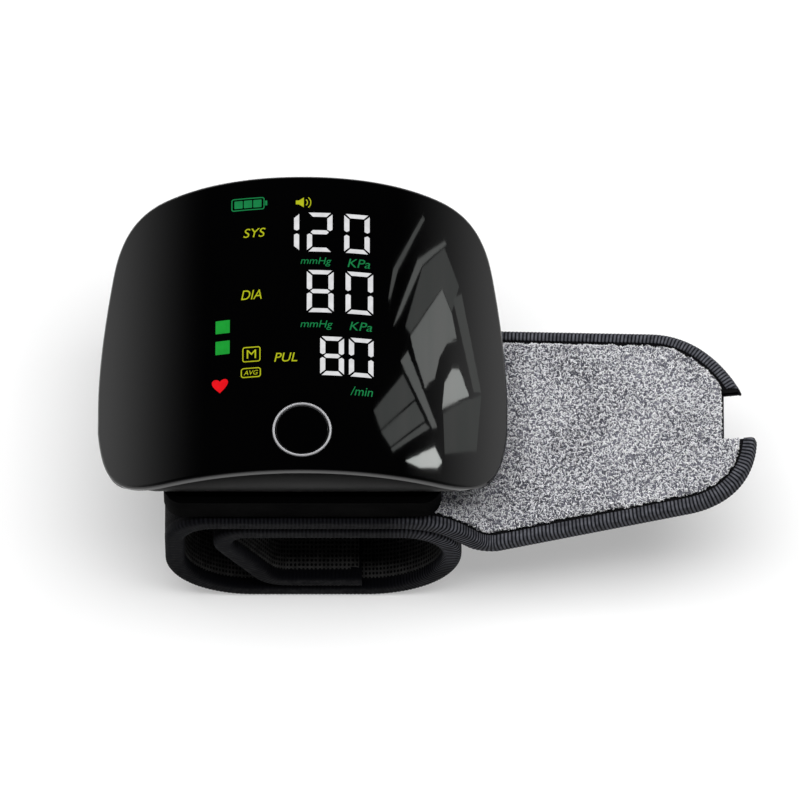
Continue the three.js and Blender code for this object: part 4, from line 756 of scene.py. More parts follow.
def thicken(bm, depth):
    """Lifts a sheet by a depth and closes the sides; gives back the lifted corners."""
    made = bmesh.ops.extrude_face_region(bm, geom=bm.faces[:], use_keep_orig=True)
    lifted = [part for part in made["geom"] if isinstance(part, bmesh.types.BMVert)]
    bmesh.ops.translate(bm, vec=(0, 0, depth), verts=lifted)
    return lifted


def middle_of(edge):
    return (edge.verts[0].co + edge.verts[1].co) / 2


def rim_edges(bm, height, wanted=lambda place: True):
    """Edges at a height between a level face and an upright one."""
    bm.normal_update()
    found = []
    for edge in bm.edges:
        level = all(abs(v.co.z - height) < FINE_MERGE for v in edge.verts)
        upright = [abs(face.normal.z) < 0.5 for face in edge.link_faces]
        turns_down = any(upright) and not all(upright)
        if level and turns_down and wanted(middle_of(edge)):
            found.append(edge)
    return found


def round_edges(bm, edges, radius, segments):
    bmesh.ops.bevel(
        bm, geom=edges, offset=radius, segments=segments, profile=0.5, affect="EDGES", material=-1
    )


def lathe(profile, x, y):
    """A turned shape about an upright axis, from (radius, height) pairs."""
    bm = bmesh.new()
    corners = [bm.verts.new((radius, 0, z)) for radius, z in profile]
    for a, b in zip(corners, corners[1:]):
        bm.edges.new((a, b))
    bmesh.ops.spin(
        bm,
        geom=bm.verts[:] + bm.edges[:],
        cent=(0, 0, 0),
        axis=(0, 0, 1),
        angle=2 * math.pi,
        steps=ROUND_STEPS,
        use_merge=True,
    )
    bmesh.ops.remove_doubles(bm, verts=bm.verts[:], dist=FINE_MERGE)
    bmesh.ops.translate(bm, vec=(x, y, 0), verts=bm.verts[:])
    return bm


def lay_on_crown(bm, radius):
    """Wraps what was made flat round the crown's axis; heights are added to the radius."""
    for v in bm.verts:
        lean = v.co.x / CROWN_RADIUS
        out = radius + v.co.z
        v.co = (out * lean, v.co.y, CROWN_AXIS_Z + out * math.sqrt(1 - lean * lean))


def mark_cloth(bm):
    """Keeps each corner's place on the flat cloth, in millimetres, for the weave."""
    layer = bm.loops.layers.uv.new("cloth")
    for face in bm.faces:
        for loop in face.loops:
            loop[layer].uv = loop.vert.co.xy


def join_into(bm, other):
    """Adds another shape to a shape."""
    mesh = bpy.data.meshes.new("part")
    other.to_mesh(mesh)
    other.free()
    bm.from_mesh(mesh)
    bpy.data.meshes.remove(mesh)


def drop_slivers(bm):
    """Takes off the slivers that cutting leaves hanging on a closed shape."""
    slivers = [face for face in bm.faces if any(edge.is_boundary for edge in face.edges)]
    bmesh.ops.delete(bm, geom=slivers, context="FACES")


def make_piece(name, bm, material, sharp=40, closed=True):
    """Merges, smooths and scales a shape, and makes it a piece of the scene."""
    bmesh.ops.remove_doubles(bm, verts=bm.verts[:], dist=MERGE)
    if closed:
        drop_slivers(bm)
        bmesh.ops.recalc_face_normals(bm, faces=bm.faces[:])
    for face in bm.faces:
        face.smooth = True
    for edge in bm.edges:
        if len(edge.link_faces) == 2 and edge.calc_face_angle(0) > math.radians(sharp):
            edge.smooth = False
    bmesh.ops.scale(bm, vec=(MM, MM, MM), verts=bm.verts[:])
    mesh = bpy.data.meshes.new(name)
    bm.to_mesh(mesh)
    bm.free()
    mesh.materials.append(material)
    made = bpy.data.objects.new(name, mesh)
    scene.collection.objects.link(made)
    return made


def settle(made):
    """Applies a piece's modifiers, so that its mesh is final."""
    bpy.context.view_layer.update()
    shaped = made.evaluated_get(bpy.context.evaluated_depsgraph_get())
    mesh = bpy.data.meshes.new_from_object(shaped)
    made.modifiers.clear()
    old = made.data
    made.data = mesh
    mesh.name = made.name
    bpy.data.meshes.remove(old)


def give_thickness(made, thickness):
    wall = made.modifiers.new("wall", "SOLIDIFY")
    wall.thickness = thickness * MM
    wall.offset = -1


def face_outwards(bm, outward):
    """Turns an open sheet so that the face furthest out looks outwards."""
    bm.normal_update()
    face = max(bm.faces, key=lambda f: f.calc_center_median().dot(outward))
    if face.normal.dot(outward) < 0:
        bmesh.ops.reverse_faces(bm, faces=bm.faces[:])


# Housing


def even_gloss(mesh):
    """Gives the panel's face the crown's exact normals, so that it mirrors without ripples."""
    normals = []
    for corner in mesh.loops:
        x, _, z = mesh.vertices[corner.vertex_index].co / MM
        outward = Vector((x, 0, z - CROWN_AXIS_Z))
        on_face = abs(outward.length - CROWN_RADIUS) < MERGE
        normals.append(outward.normalized() if on_face else Vector())
    mesh.normals_split_custom_set(normals)


def make_lens():
    bm = plate(panel_outline(0), circle_loop(0, BUTTON_Y, RING_OUTER + RING_ROOM))
    cut_band(bm, LENS_BAND)
    thicken(bm, LENS)
    centre = Vector((0, BUTTON_Y, LENS))

    def at_hole(place):
        return (place - centre).length < RING_OUTER + 2 * RING_ROOM

    round_edges(bm, rim_edges(bm, LENS, lambda place: not at_hole(place)), LENS_ROUND, 5)
    round_edges(bm, rim_edges(bm, LENS, at_hole), HOLE_ROUND, 2)
    slice_up(bm, PANEL_SLICE, PANEL_SLICE_ALONG)
    lay_on_crown(bm, CROWN_RADIUS - LENS)
    made = make_piece("lens_panel", bm, lens_black, sharp=60)
    even_gloss(made.data)
    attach(made, "housing")
    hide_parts("front_lens")


def at_opening(edge):
    x0, x1, y0, y1 = SHELL_OPENING
    x, y, _ = middle_of(edge)
    return x0 - OPENING_ROOM < x < x1 + OPENING_ROOM and y0 - OPENING_ROOM < y < y1 + OPENING_ROOM


def make_lower_shell():
    """The shell under the panel: its lower edge tucks in at the lobes on both sides of the base."""
    rim_loop = panel_outline(RIM_INSET)
    low_loop = []
    for (x, y), (deep_x, deep_y) in zip(rim_loop, panel_outline(RIM_INSET + SHELL_TUCK)):
        share = smoothstep((abs(x) - TUCK_PLACES[0]) / (TUCK_PLACES[1] - TUCK_PLACES[0]))
        low_loop.append((lerp(x, deep_x, share), lerp(y, deep_y, share)))
    bm = plate(low_loop, rounded_loop(*SHELL_OPENING, SHELL_OPENING_CORNER))
    cut_band(bm, SHELL_BAND)
    outer = [edge for edge in bm.edges if edge.is_boundary and not at_opening(edge)]
    made = bmesh.ops.extrude_edge_only(bm, edges=outer)
    rim = [part for part in made["geom"] if isinstance(part, bmesh.types.BMVert)]
    rise = 4 * SHELL_ROUND
    for v in rim:
        nearest = min(range(len(low_loop)), key=lambda i: (Vector(low_loop[i]) - v.co.xy).length)
        v.co = (*rim_loop[nearest], rise)
    bmesh.ops.recalc_face_normals(bm, faces=bm.faces[:])
    round_edges(bm, rim_edges(bm, 0), SHELL_ROUND, 6)
    slice_up(bm, PANEL_SLICE, PANEL_SLICE_ALONG)
    face_outwards(bm, Vector((0, 0, -1)))
    for v in bm.verts:
        x, _, z = v.co
        foot = min(SHELL_Z, crown_z(LOBE_RADIUS, x))
        if z > SHELL_ROUND:
            share = (z - SHELL_ROUND) / (rise - SHELL_ROUND)
            v.co.z = lerp(foot + SHELL_ROUND, crown_z(RIM_RADIUS, x), share)
        else:
            v.co.z = foot + z
    shell = make_piece("lower_case", bm, shell_grey, sharp=50, closed=False)
    give_thickness(shell, SHELL_WALL)
    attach(shell, "housing")
    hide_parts("lower_shell")


def follow_crown(bm, above):
    """Lowers a turned shape's upper face to the crown, in line with the panel."""
    for v in bm.verts:
        if v.co.z > above:
            v.co.z -= CROWN_RADIUS - math.sqrt(CROWN_RADIUS**2 - v.co.x**2)


def make_button():
    profile = []
    for radius in BUTTON_FACE_RADII:
        profile.append((radius, BUTTON_TOP - BUTTON_DISH * (1 - (radius / BUTTON_RADIUS) ** 2)))
    profile += [
        (BUTTON_RADIUS - BUTTON_ROUND, BUTTON_TOP),
        (BUTTON_RADIUS - BUTTON_EASE, BUTTON_TOP - BUTTON_EASE),
        (BUTTON_RADIUS, BUTTON_TOP - BUTTON_ROUND),
        (BUTTON_RADIUS, FLANGE_TOP_Z),
        (FLANGE_RADIUS, FLANGE_TOP_Z),
        (FLANGE_RADIUS, FLANGE_Z),
        (STEM_RADIUS, FLANGE_Z),
        (STEM_RADIUS, STEM_Z),
        (0, STEM_Z),
    ]
    bm = lathe(profile, 0, BUTTON_Y)
    follow_crown(bm, BUTTON_TOP - 3 * BUTTON_DISH)
    made = make_piece("button_cap", bm, button_black, sharp=50)
    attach(made, "start_button")
    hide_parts("start_button")


def make_ring():
    top = CROWN_AXIS_Z + CROWN_RADIUS + RING_RAISE
    middle = (RING_INNER + RING_OUTER) / 2
    half = (RING_OUTER - RING_INNER) / 2
    profile = [(RING_OUTER, RING_FOOT_Z)]
    for turn in np.linspace(0, math.pi, RING_ARCH_POINTS):
        profile.append((middle + half * math.cos(turn), top - half * (1 - math.sin(turn))))
    profile += [(RING_INNER, RING_FOOT_Z), (RING_OUTER, RING_FOOT_Z)]
    bm = lathe(profile, 0, BUTTON_Y)
    follow_crown(bm, top - 2 * half)
    made = make_piece("button_trim", bm, ring_silver, sharp=50)
    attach(made, "housing")
    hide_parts("button_ring")


make_lens()
make_lower_shell()
make_button()
make_ring()


# Display


def digit_bars(which, x0, x1, y0, y1):
    """The lit bars of one seven-bar digit, each with slanted ends."""
    width, height = x1 - x0, y1 - y0
    mid = height / 2
    low = [(BREAK, 0), (width - BREAK, 0), (width - STROKE - BREAK / 2, BAR), (STROKE + BREAK / 2, BAR)]
    left = [
        (0, BREAK),
        (STROKE, BAR + BREAK),
        (STROKE, mid - BAR / 2 - BREAK / 2),
        (STROKE * SIDE_POINT, mid - BREAK),
        (0, mid - BREAK * 2),
    ]

    def over(bar):
        return [(x, height - y) for x, y in reversed(bar)]

    def across(bar):
        return [(width - x, y) for x, y in reversed(bar)]

    middle = [
        (STROKE * MIDDLE_POINT, mid),
        (STROKE * MIDDLE_CORNER, mid - BAR / 2),
        (width - STROKE * MIDDLE_CORNER, mid - BAR / 2),
        (width - STROKE * MIDDLE_POINT, mid),
        (width - STROKE * MIDDLE_CORNER, mid + BAR / 2),
        (STROKE * MIDDLE_CORNER, mid + BAR / 2),
    ]
    bars = {
        "a": over(low),
        "b": over(across(left)),
        "c": across(left),
        "d": low,
        "e": left,
        "f": over(left),
        "g": middle,
    }
    return [[(x0 + x, y0 + y) for x, y in bars[name]] for name in SEGMENTS[which]]


def words(text, x0, x1, y0, y1, slant=SLANT):
    """Plain letters, as a flat sheet that fills a box."""
    letters = bpy.data.curves.new("letters", "FONT")
    letters.body = text
    letters.shear = slant
    letters.resolution_u = LETTER_STEPS
    holder = bpy.data.objects.new("letters", letters)
    scene.collection.objects.link(holder)
    bpy.context.view_layer.update()
    graph = bpy.context.evaluated_depsgraph_get()
    mesh = bpy.data.meshes.new_from_object(holder.evaluated_get(graph))
    bm = bmesh.new()
    bm.from_mesh(mesh)
    bpy.data.objects.remove(holder)
    bpy.data.curves.remove(letters)
    bpy.data.meshes.remove(mesh)
    bmesh.ops.remove_doubles(bm, verts=bm.verts[:], dist=LETTER_MERGE)
    for axis, (start, end) in enumerate(((x0, x1), (y0, y1))):
        places = [v.co[axis] for v in bm.verts]
        low, high = min(places), max(places)
        for v in bm.verts:
            v.co[axis] = lerp(start, end, (v.co[axis] - low) / (high - low))
    return bm


def shapes(loops):
    bm = bmesh.new()
    for loop in loops:
        join_into(bm, plate(loop))
    return bm


def sound_mark(x0, x1, y0, y1):
    """A little loudspeaker with two sound waves; its sizes are shares of the box."""
    width, mid, half = x1 - x0, (y0 + y1) / 2, (y1 - y0) / 2
    loops = [[(x0 + width * across, mid + half * up) for across, up in SOUND_CONE]]
    centre = x0 + width * SOUND_WAVE_X
    arc = (-SOUND_WAVE_TURN, SOUND_WAVE_TURN, SOUND_WAVE_STEPS)
    for share in SOUND_WAVE_RADII:
        outer = arc_points(centre, mid, width * share + SOUND_WAVE, *arc)
        inner = arc_points(centre, mid, width * share, *arc)
        loops.append(outer + inner[::-1])
    return loops


def heart_loop(x0, x1, y0, y1):
    """A heart's outline in a box, by the well-known curve of a sine and three cosines."""
    points = []
    for i in range(HEART_STEPS):
        t = 2 * math.pi * i / HEART_STEPS
        rise = (13 * math.cos(t) - 5 * math.cos(2 * t) - 2 * math.cos(3 * t)) / 17
        points.append((math.sin(t) ** 3, rise))
    low, high = min(y for _, y in points), max(y for _, y in points)
    loop = [(lerp(x0, x1, (x + 1) / 2), lerp(y0, y1, (y - low) / (high - low))) for x, y in points]
    return list(reversed(loop))


def line_frame(x0, x1, y0, y1, corner):
    """A thin line round a box with rounded corners."""
    inner = (x0 + FRAME_LINE, x1 - FRAME_LINE, y0 + FRAME_LINE, y1 - FRAME_LINE)
    return plate(rounded_loop(x0, x1, y0, y1, corner), rounded_loop(*inner, corner - FRAME_LINE))


def add_charge_mark(bm):
    """A battery: its case, three full cells and its knob."""
    x0, x1, y0, y1 = CHARGE
    join_into(bm, line_frame(*CHARGE, CHARGE_CORNER))
    cell = (x1 - x0 - 2 * CHARGE_MARGIN) / CHARGE_CELLS
    low, high = y0 + CHARGE_CELL_INSET, y1 - CHARGE_CELL_INSET
    for i in range(CHARGE_CELLS):
        left = x0 + CHARGE_MARGIN + i * cell
        sides = (left + CHARGE_GAP, left + cell - CHARGE_GAP)
        join_into(bm, plate(rounded_loop(*sides, low, high, CHARGE_CELL_CORNER)))
    knob = (x1 + CHARGE_GAP, x1 + CHARGE_KNOB, y0 + CHARGE_KNOB_INSET, y1 - CHARGE_KNOB_INSET)
    join_into(bm, plate(rounded_loop(*knob, CHARGE_KNOB_CORNER)))


def lay_marks(name, bm, material):
    """Sets flat marks into the panel's face, measured from its near edge."""
    bmesh.ops.translate(bm, vec=(0, PANEL_NEAR_Y, 0), verts=bm.verts[:])
    slice_up(bm, MARK_SLICE)
    bm.normal_update()
    thicken(bm, MARK_DEPTH)
    lay_on_crown(bm, CROWN_RADIUS + MARK_RAISE - MARK_DEPTH)
    made = make_piece(name, bm, material)
    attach(made, "housing")


def make_display():
    bars = [bar for digit in DIGITS for bar in digit_bars(*digit)]
    lay_marks("display_digits", shapes(bars), digit_white)
    labels = shapes(sound_mark(*SOUND))
    for text, *box in LABELS:
        join_into(labels, words(text, *box, slant=0.0 if len(text) == 1 else SLANT))
    for box in LABEL_FRAMES:
        join_into(labels, line_frame(*box))
    lay_marks("display_labels", labels, label_yellow)
    units = bmesh.new()
    for text, *box in UNITS:
        join_into(units, words(text, *box))
    add_charge_mark(units)
    lay_marks("display_units", units, unit_green)
    lay_marks("display_levels", shapes([rounded_loop(*box, LEVEL_CORNER) for box in LEVELS]), level_green)
    lay_marks("display_heart", plate(heart_loop(*HEART)), heart_red)


make_display()


# Strap: made flat, as (reach along it, place across it, height out of it), then rolled up


def run(length):
    return length, 0.0


def bend(radius, turn):
    return radius * abs(turn), turn


def trace(x, z, heading, legs):
    """The strap's middle line, as rows of reach, x, z and heading."""
    reach = 0.0
    line = [(reach, x, z, heading)]
    for length, turn in legs:
        steps = max(1, round(length / LINE_STEP))
        step = length / steps
        for _ in range(steps):
            middle = heading + turn / steps / 2
            reach += step
            x += step * math.cos(middle)
            z += step * math.sin(middle)
            heading += turn / steps
            line.append((reach, x, z, heading))
    return np.array(line)


tail_line = trace(
    RIGHT_BEND_X,
    TOP_TURN_Z,
    0.0,
    [
        bend(SHOULDER_BEND, -SHOULDER_TURN),
        run(SHOULDER_RUN),
        bend(VALLEY_BEND, VALLEY_TURN),
        run(TAIL_LENGTH + TAIL_SPARE),
    ],
)
roll_line = trace(
    RIGHT_BEND_X,
    TOP_TURN_Z,
    math.pi,
    [
        run(RIGHT_BEND_X - LEFT_BEND_X),
        bend(LEFT_TOP_BEND, math.pi / 2),
        run(TOP_TURN_Z - LEFT_TOP_BEND - STRAP_FACE - LEFT_FOOT_BEND),
        bend(LEFT_FOOT_BEND, math.pi / 2),
        run(RIGHT_FOOT_X - LEFT_FOOT_X),
        bend(RIGHT_FOOT_BEND, math.pi / 2),
        bend(RIGHT_TOP_BEND, math.pi / 2),
        run(RIGHT_BEND_X - FLAP_BEND_X),
        bend(FLAP_TOP_BEND, FLAP_TOP_TURN),
        run(FLAP_RUN),
        bend(FLAP_FOOT_BEND, FLAP_LEAN),
        run(INNER_END_X - FLAP_END_X - FLAP_FOOT_BEND * math.sin(FLAP_LEAN)),
    ],
)
INNER_REACH = -float(roll_line[-1][0])


def strap_place(reach, out):
    """Where a place on the flat strap comes to lie, seen along the wrist."""
    line = tail_line if reach >= 0 else roll_line
    along = abs(reach)
    x, z, heading = (float(np.interp(along, line[:, 0], line[:, i])) for i in (1, 2, 3))
    side = 1 if reach >= 0 else -1
    return x - side * out * math.sin(heading), z + side * out * math.cos(heading)


def roll_up(bm):
    """Rolls up what was made flat on the strap."""
    for v in bm.verts:
        reach, y, out = v.co
        x, z = strap_place(reach, out)
        v.co = (x, y, z)


def strap_edges(reach):
    """The strap's near and far edges: it narrows towards the tail."""
    share = smoothstep((reach + TAPER_START) / (PIVOT_REACH + TAPER_START))
    return [lerp(cuff, tail, share) for cuff, tail in zip(CUFF_EDGES, TAIL_EDGES)]


def edge_line(side, start):
    """The near or far edge of the flat strap, from a reach out to the tail's tip."""
    places = np.arange(start, PIVOT_REACH, 1.0)
    line = [(float(reach), strap_edges(reach)[side]) for reach in places]
    inward = (1, -1)[side]
    root = (PIVOT_REACH, TAIL_EDGES[side])
    length = TIP_LENGTHS[side]
    turn = (TIP_REACH - length, root[1] + inward * TAIL_NARROWING)
    lean = Vector((turn[0] - root[0], turn[1] - root[1])).normalized()
    lead = TIP_LEADS[side] * length
    tip_pull = lerp(TAIL_TIP_Y, turn[1], TIP_ROUNDS[side])
    line.append(root)
    line += curve_points(
        turn,
        (turn[0] + lean.x * lead, turn[1] + lean.y * lead),
        (TIP_REACH, tip_pull),
        (TIP_REACH, TAIL_TIP_Y),
    )
    return line


def strap_sheet(start, inset):
    """The flat strap from a reach out to its notched tip, moved in from its edges."""
    near = edge_line(0, start)
    far = edge_line(1, start)
    spare = 10 * STRAP_FACE
    tail = [(TIP_REACH, TAIL_TIP_Y)] + list(reversed(far)) + [(start - spare, far[0][1])]
    bm = plate(inset_loop([(start - spare, near[0][1])] + near + tail, inset))
    cut_at(bm, Vector((1, 0, 0)), start, clear_inner=True)
    cut_notch(bm)
    return bm


def cut_notch(bm):
    """Takes the notch out of a flat sheet."""
    near, far = NOTCH_EDGES
    cut_at(bm, Vector((1, 0, 0)), NOTCH_REACH)
    for place in NOTCH_EDGES:
        cut_at(bm, Vector((0, 1, 0)), place)
    inside = []
    for face in bm.faces:
        middle = face.calc_center_median()
        if middle.x > NOTCH_REACH and near < middle.y < far:
            inside.append(face)
    bmesh.ops.delete(bm, geom=inside, context="FACES")


def bend_with_tail(made):
    """A piece that crosses the tail's bend: bakes its place into its mesh."""
    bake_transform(made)


# Cloths of the strap


def flat_strip(start, end):
    """A level grid over the strap between two reaches, inside its tapes."""
    bm = bmesh.new()
    along = math.ceil((end - start) / CLOTH_STEP)
    across = math.ceil(CUFF_WIDTH / CLOTH_STEP)
    bmesh.ops.create_grid(bm, x_segments=along, y_segments=across, size=1)
    for v in bm.verts:
        reach = lerp(start, end, (v.co.x + 1) / 2)
        near, far = strap_edges(reach)
        v.co = (reach, lerp(near + CLOTH_INSET, far - CLOTH_INSET, (v.co.y + 1) / 2), 0)
    return bm


def cloth_height(reach, y):
    """Height of a cloth's face: tucked under the tape at its edges, a little uneven between them."""
    near, far = strap_edges(reach)
    margin = min(y - near, far - y)
    tuck = smoothstep((margin - CLOTH_TUCK_START) / CLOTH_TUCK)
    ripple = CLOTH_RIPPLE * tuck * (0.5 + 0.5 * sheet_noise(reach, y, *CLOTH_UNEVEN))
    return lerp(CLOTH_UNDER_TAPE, STRAP_FACE, tuck) - ripple


def make_loop_cloth(name, end, side, material):
    """A cloth over the loop's outer face, side 1, or inner face, side -1."""
    bm = flat_strip(INNER_REACH + CLOTH_INSET, end)
    mark_cloth(bm)
    lifted = set(thicken(bm, 1))
    for v in bm.verts:
        v.co.z = side * (cloth_height(v.co.x, v.co.y) if v in lifted else CLOTH_BACK)
    roll_up(bm)
    return make_piece(name, bm, material)


def make_cover():
    made = make_loop_cloth("cuff_sleeve", PILE_START, 1, cover_nylon)
    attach(made, "housing")
    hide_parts("cuff_cover")
    return made


def make_lining():
    made = make_loop_cloth("cuff_inner_cloth", PIVOT_REACH, -1, lining_mesh)
    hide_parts("cuff_lining")
    bend_with_tail(made)
    return made


def make_backing():
    bm = strap_sheet(PIVOT_REACH - BACKING_LAP, CLOTH_INSET)
    slice_up(bm, BACKING_SLICE, BACKING_SLICE)
    mark_cloth(bm)
    lifted = set(thicken(bm, 1))
    for v in bm.verts:
        v.co.z = -CLOTH_BACK if v in lifted else -CLOTH_UNDER_TAPE
    roll_up(bm)
    made = make_piece("tail_under_cloth", bm, cover_nylon)
    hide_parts("tail_backing")
    bend_with_tail(made)
    return made


# Edge tape


def tape_section(share):
    """A place on the tape's folded section: how far in from the edge, how high, and which way is out.

    The section's lower half mirrors its upper half.
    """
    flat = TAPE_LAP - TAPE_ROUND
    arc = math.pi / 2 * TAPE_ROUND
    side = TAPE_FACE - TAPE_ROUND
    up = 1 if share <= 0.5 else -1
    walked = 2 * min(share, 1 - share) * (flat + arc + side)
    if walked <= flat:
        return TAPE_LAP - walked, up * TAPE_FACE, (0.0, up)
    walked -= flat
    if walked <= arc:
        turn = walked / TAPE_ROUND
        out = (-math.sin(turn), up * math.cos(turn))
        return TAPE_ROUND * (1 + out[0]), up * side + TAPE_ROUND * out[1], out
    walked -= arc
    return 0.0, up * (side - walked), (-1.0, 0.0)


def fold_tape(line, inward):
    """Ribbed tape folded over a line on the flat strap; inward is +1 where the strap is to its left."""
    points = np.array(line)
    gaps = np.hypot(*np.diff(points, axis=0).T)
    walked = np.concatenate([[0.0], np.cumsum(gaps)])
    slopes = np.gradient(points, walked, axis=0)
    bm = bmesh.new()
    bmesh.ops.create_grid(
        bm, x_segments=round(walked[-1] / RIB_PITCH * RIB_STEPS), y_segments=TAPE_ACROSS, size=1
    )
    layer = bm.loops.layers.uv.new("cloth")
    flat = {}
    for v in bm.verts:
        along = lerp(0.0, walked[-1], (v.co.x + 1) / 2)
        share = (v.co.y + 1) / 2
        flat[v] = (along, share * (2 * TAPE_LAP + 2 * TAPE_FACE))
    for face in bm.faces:
        for loop in face.loops:
            loop[layer].uv = flat[loop.vert]
    for v in bm.verts:
        along, share = flat[v][0], (v.co.y + 1) / 2
        x, y = (float(np.interp(along, walked, points[:, i])) for i in (0, 1))
        slope = Vector([float(np.interp(along, walked, slopes[:, i])) for i in (0, 1)]).normalized()
        into = Vector((-slope.y, slope.x)) * inward
        deep, high, out = tape_section(share)
        rib = RIB_DEPTH * 0.5 * (1 + math.cos(2 * math.pi * along / RIB_PITCH)) - RIB_DEPTH
        deep += out[0] * rib
        high += out[1] * rib
        v.co = (x + into.x * deep, y + into.y * deep, high)
    face_outwards(bm, Vector((0, 0, 1)))
    return bm


def make_tape(name, bm):
    """Rolls up a folded tape and gives it its thickness."""
    roll_up(bm)
    made = make_piece(name, bm, edge_tape, sharp=70, closed=False)
    give_thickness(made, TAPE)
    settle(made)
    return made


def make_binding(side):
    """Tape along the near or far edge, out to the notch."""
    name = ("near", "far")[side]
    bm = fold_tape(edge_line(side, INNER_REACH), (1, -1)[side])
    if side == 0:
        cut_at(bm, Vector((0, 1, 0)), NOTCH_EDGES[side], clear_outer=True)
    else:
        gone = [v for v in bm.verts if v.co.x > NOTCH_REACH and v.co.y < NOTCH_EDGES[side]]
        bmesh.ops.delete(bm, geom=gone, context="VERTS")
    made = make_tape(f"edge_tape_{name}", bm)
    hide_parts(f"cuff_binding_{name}", f"tail_binding_{name}")
    bend_with_tail(made)


def make_end_tape():
    """Tape over the strap's inner end."""
    near, far = CUFF_EDGES
    line = [(INNER_REACH, far - TAPE), (INNER_REACH, near + TAPE)]
    made = make_tape("edge_tape_end", fold_tape(line, 1))
    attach(made, "housing")


cover = make_cover()
lining = make_lining()
backing = make_backing()
for side in (0, 1):
    make_binding(side)
make_end_tape()


# Tail: a padded ground cloth with standing loops of yarn, and hooks under it


def slab(inset, low, high, edge=0.0):
    """A slab along the pile's part of the flat strap, between two heights."""
    bm = strap_sheet(PILE_START, inset)
    bmesh.ops.remove_doubles(bm, verts=bm.verts[:], dist=edge / 2)
    thicken(bm, high - low)
    if edge:
        round_edges(bm, rim_edges(bm, high - low), edge, 3)
    bmesh.ops.translate(bm, vec=(0, 0, low), verts=bm.verts[:])
    return bm


def make_pile_ground():
    """The pile's ground cloth, and a copy of the faces that the loops of yarn stand on."""
    bm = slab(CLOTH_INSET, PILE_UNDER, CLOTH_UNDER_TAPE)
    join_into(bm, slab(PILE_INSET, PILE_ROOT, PILE_TOP, PILE_EDGE))
    slice_up(bm, PILE_SLICE, PILE_SLICE_ACROSS)
    bmesh.ops.recalc_face_normals(bm, faces=bm.faces[:])
    for v in bm.verts:
        if v.co.z > CLOTH_UNDER_TAPE + NEAR or abs(v.co.z - PILE_ROOT) < NEAR:
            v.co.y += PILE_RAGGED * sheet_noise(v.co.x, v.co.y, *PILE_UNEVEN)
    mark_cloth(bm)
    pile_faces = bm.faces.layers.int.new("pile_faces")
    for face in bm.faces:
        heights = [v.co.z for v in face.verts]
        face.material_index = int(max(heights) < CLOTH_UNDER_TAPE + NEAR)
        face[pile_faces] = int(min(heights) > PILE_ROOT + NEAR and not face.material_index)
    roll_up(bm)
    carrier = bm.copy()
    layer = carrier.faces.layers.int["pile_faces"]
    bmesh.ops.delete(carrier, geom=[f for f in carrier.faces if not f[layer]], context="FACES")
    made = make_piece("tail_pile_ground", bm, pile_ground)
    made.data.materials.append(cover_nylon)
    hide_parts("tail_pile")
    bend_with_tail(made)
    return made, make_piece("pile_top_sheet", carrier, pile_ground, closed=False)


def yarn_loop(reach, yarn, arc, steps):
    """One standing loop of yarn, or a hook: a bar bent about a level axis."""
    bm = bmesh.new()
    bmesh.ops.create_circle(bm, segments=YARN_SIDES, radius=yarn, cap_ends=True)
    bmesh.ops.translate(bm, vec=(reach, 0, 0), verts=bm.verts[:])
    bmesh.ops.spin(bm, geom=bm.faces[:], cent=(0, 0, 0), axis=(0, -1, 0), angle=arc, steps=steps)
    return make_piece("yarn_loop", bm, pile_ground, sharp=180)


def scatter(name, sheet, shape, densities, lean, sizes, seed, material):
    """Stands copies of a small shape all over a sheet, each turned, leant and sized differently.

    Their number lies between the two densities, in soft clouds.
    """
    tree = bpy.data.node_groups.new(name, "GeometryNodeTree")
    for way in ("INPUT", "OUTPUT"):
        tree.interface.new_socket("Geometry", in_out=way, socket_type="NodeSocketGeometry")
    entry = tree.nodes.new("NodeGroupInput")
    leave = tree.nodes.new("NodeGroupOutput")
    clouds = add_node(tree, "ShaderNodeTexNoise", Scale=1 / (PILE_CLOUD * MM), Detail=2.0).outputs["Fac"]
    points = add_node(
        tree,
        "GeometryNodeDistributePointsOnFaces",
        Mesh=entry.outputs["Geometry"],
        Density=spread(tree, clouds, *PILE_CLOUD_SPAN, *(number / MM**2 for number in densities)),
        Seed=seed,
    )
    random = "FunctionNodeRandomValue"
    turns = add_node(
        tree,
        random,
        {"data_type": "FLOAT_VECTOR"},
        n0=(-lean, -lean, 0.0),
        n1=(lean, lean, 2 * math.pi),
        Seed=seed + 1,
    )
    size = add_node(tree, random, {"data_type": "FLOAT"}, n2=sizes[0], n3=sizes[1], Seed=seed + 2)
    turned = add_node(
        tree,
        "FunctionNodeRotateRotation",
        {"rotation_space": "LOCAL"},
        Rotation=points.outputs["Rotation"],
        Rotate_By=turns.outputs[0],
    )
    source = add_node(tree, "GeometryNodeObjectInfo", Object=shape)
    copies = add_node(
        tree,
        "GeometryNodeInstanceOnPoints",
        Points=points.outputs["Points"],
        Instance=source.outputs["Geometry"],
        Rotation=turned.outputs[0],
        Scale=size.outputs[1],
    )
    real = add_node(tree, "GeometryNodeRealizeInstances", Geometry=copies.outputs["Instances"])
    tree.links.new(real.outputs["Geometry"], leave.inputs["Geometry"])
    made = bpy.data.objects.new(name, sheet.data.copy())
    scene.collection.objects.link(made)
    made.modifiers.new("loops", "NODES").node_group = tree
    settle(made)
    made.data.materials.clear()
    made.data.materials.append(material)
    return made


def clear_away(*scraps):
    for scrap in scraps:
        bpy.data.objects.remove(scrap)


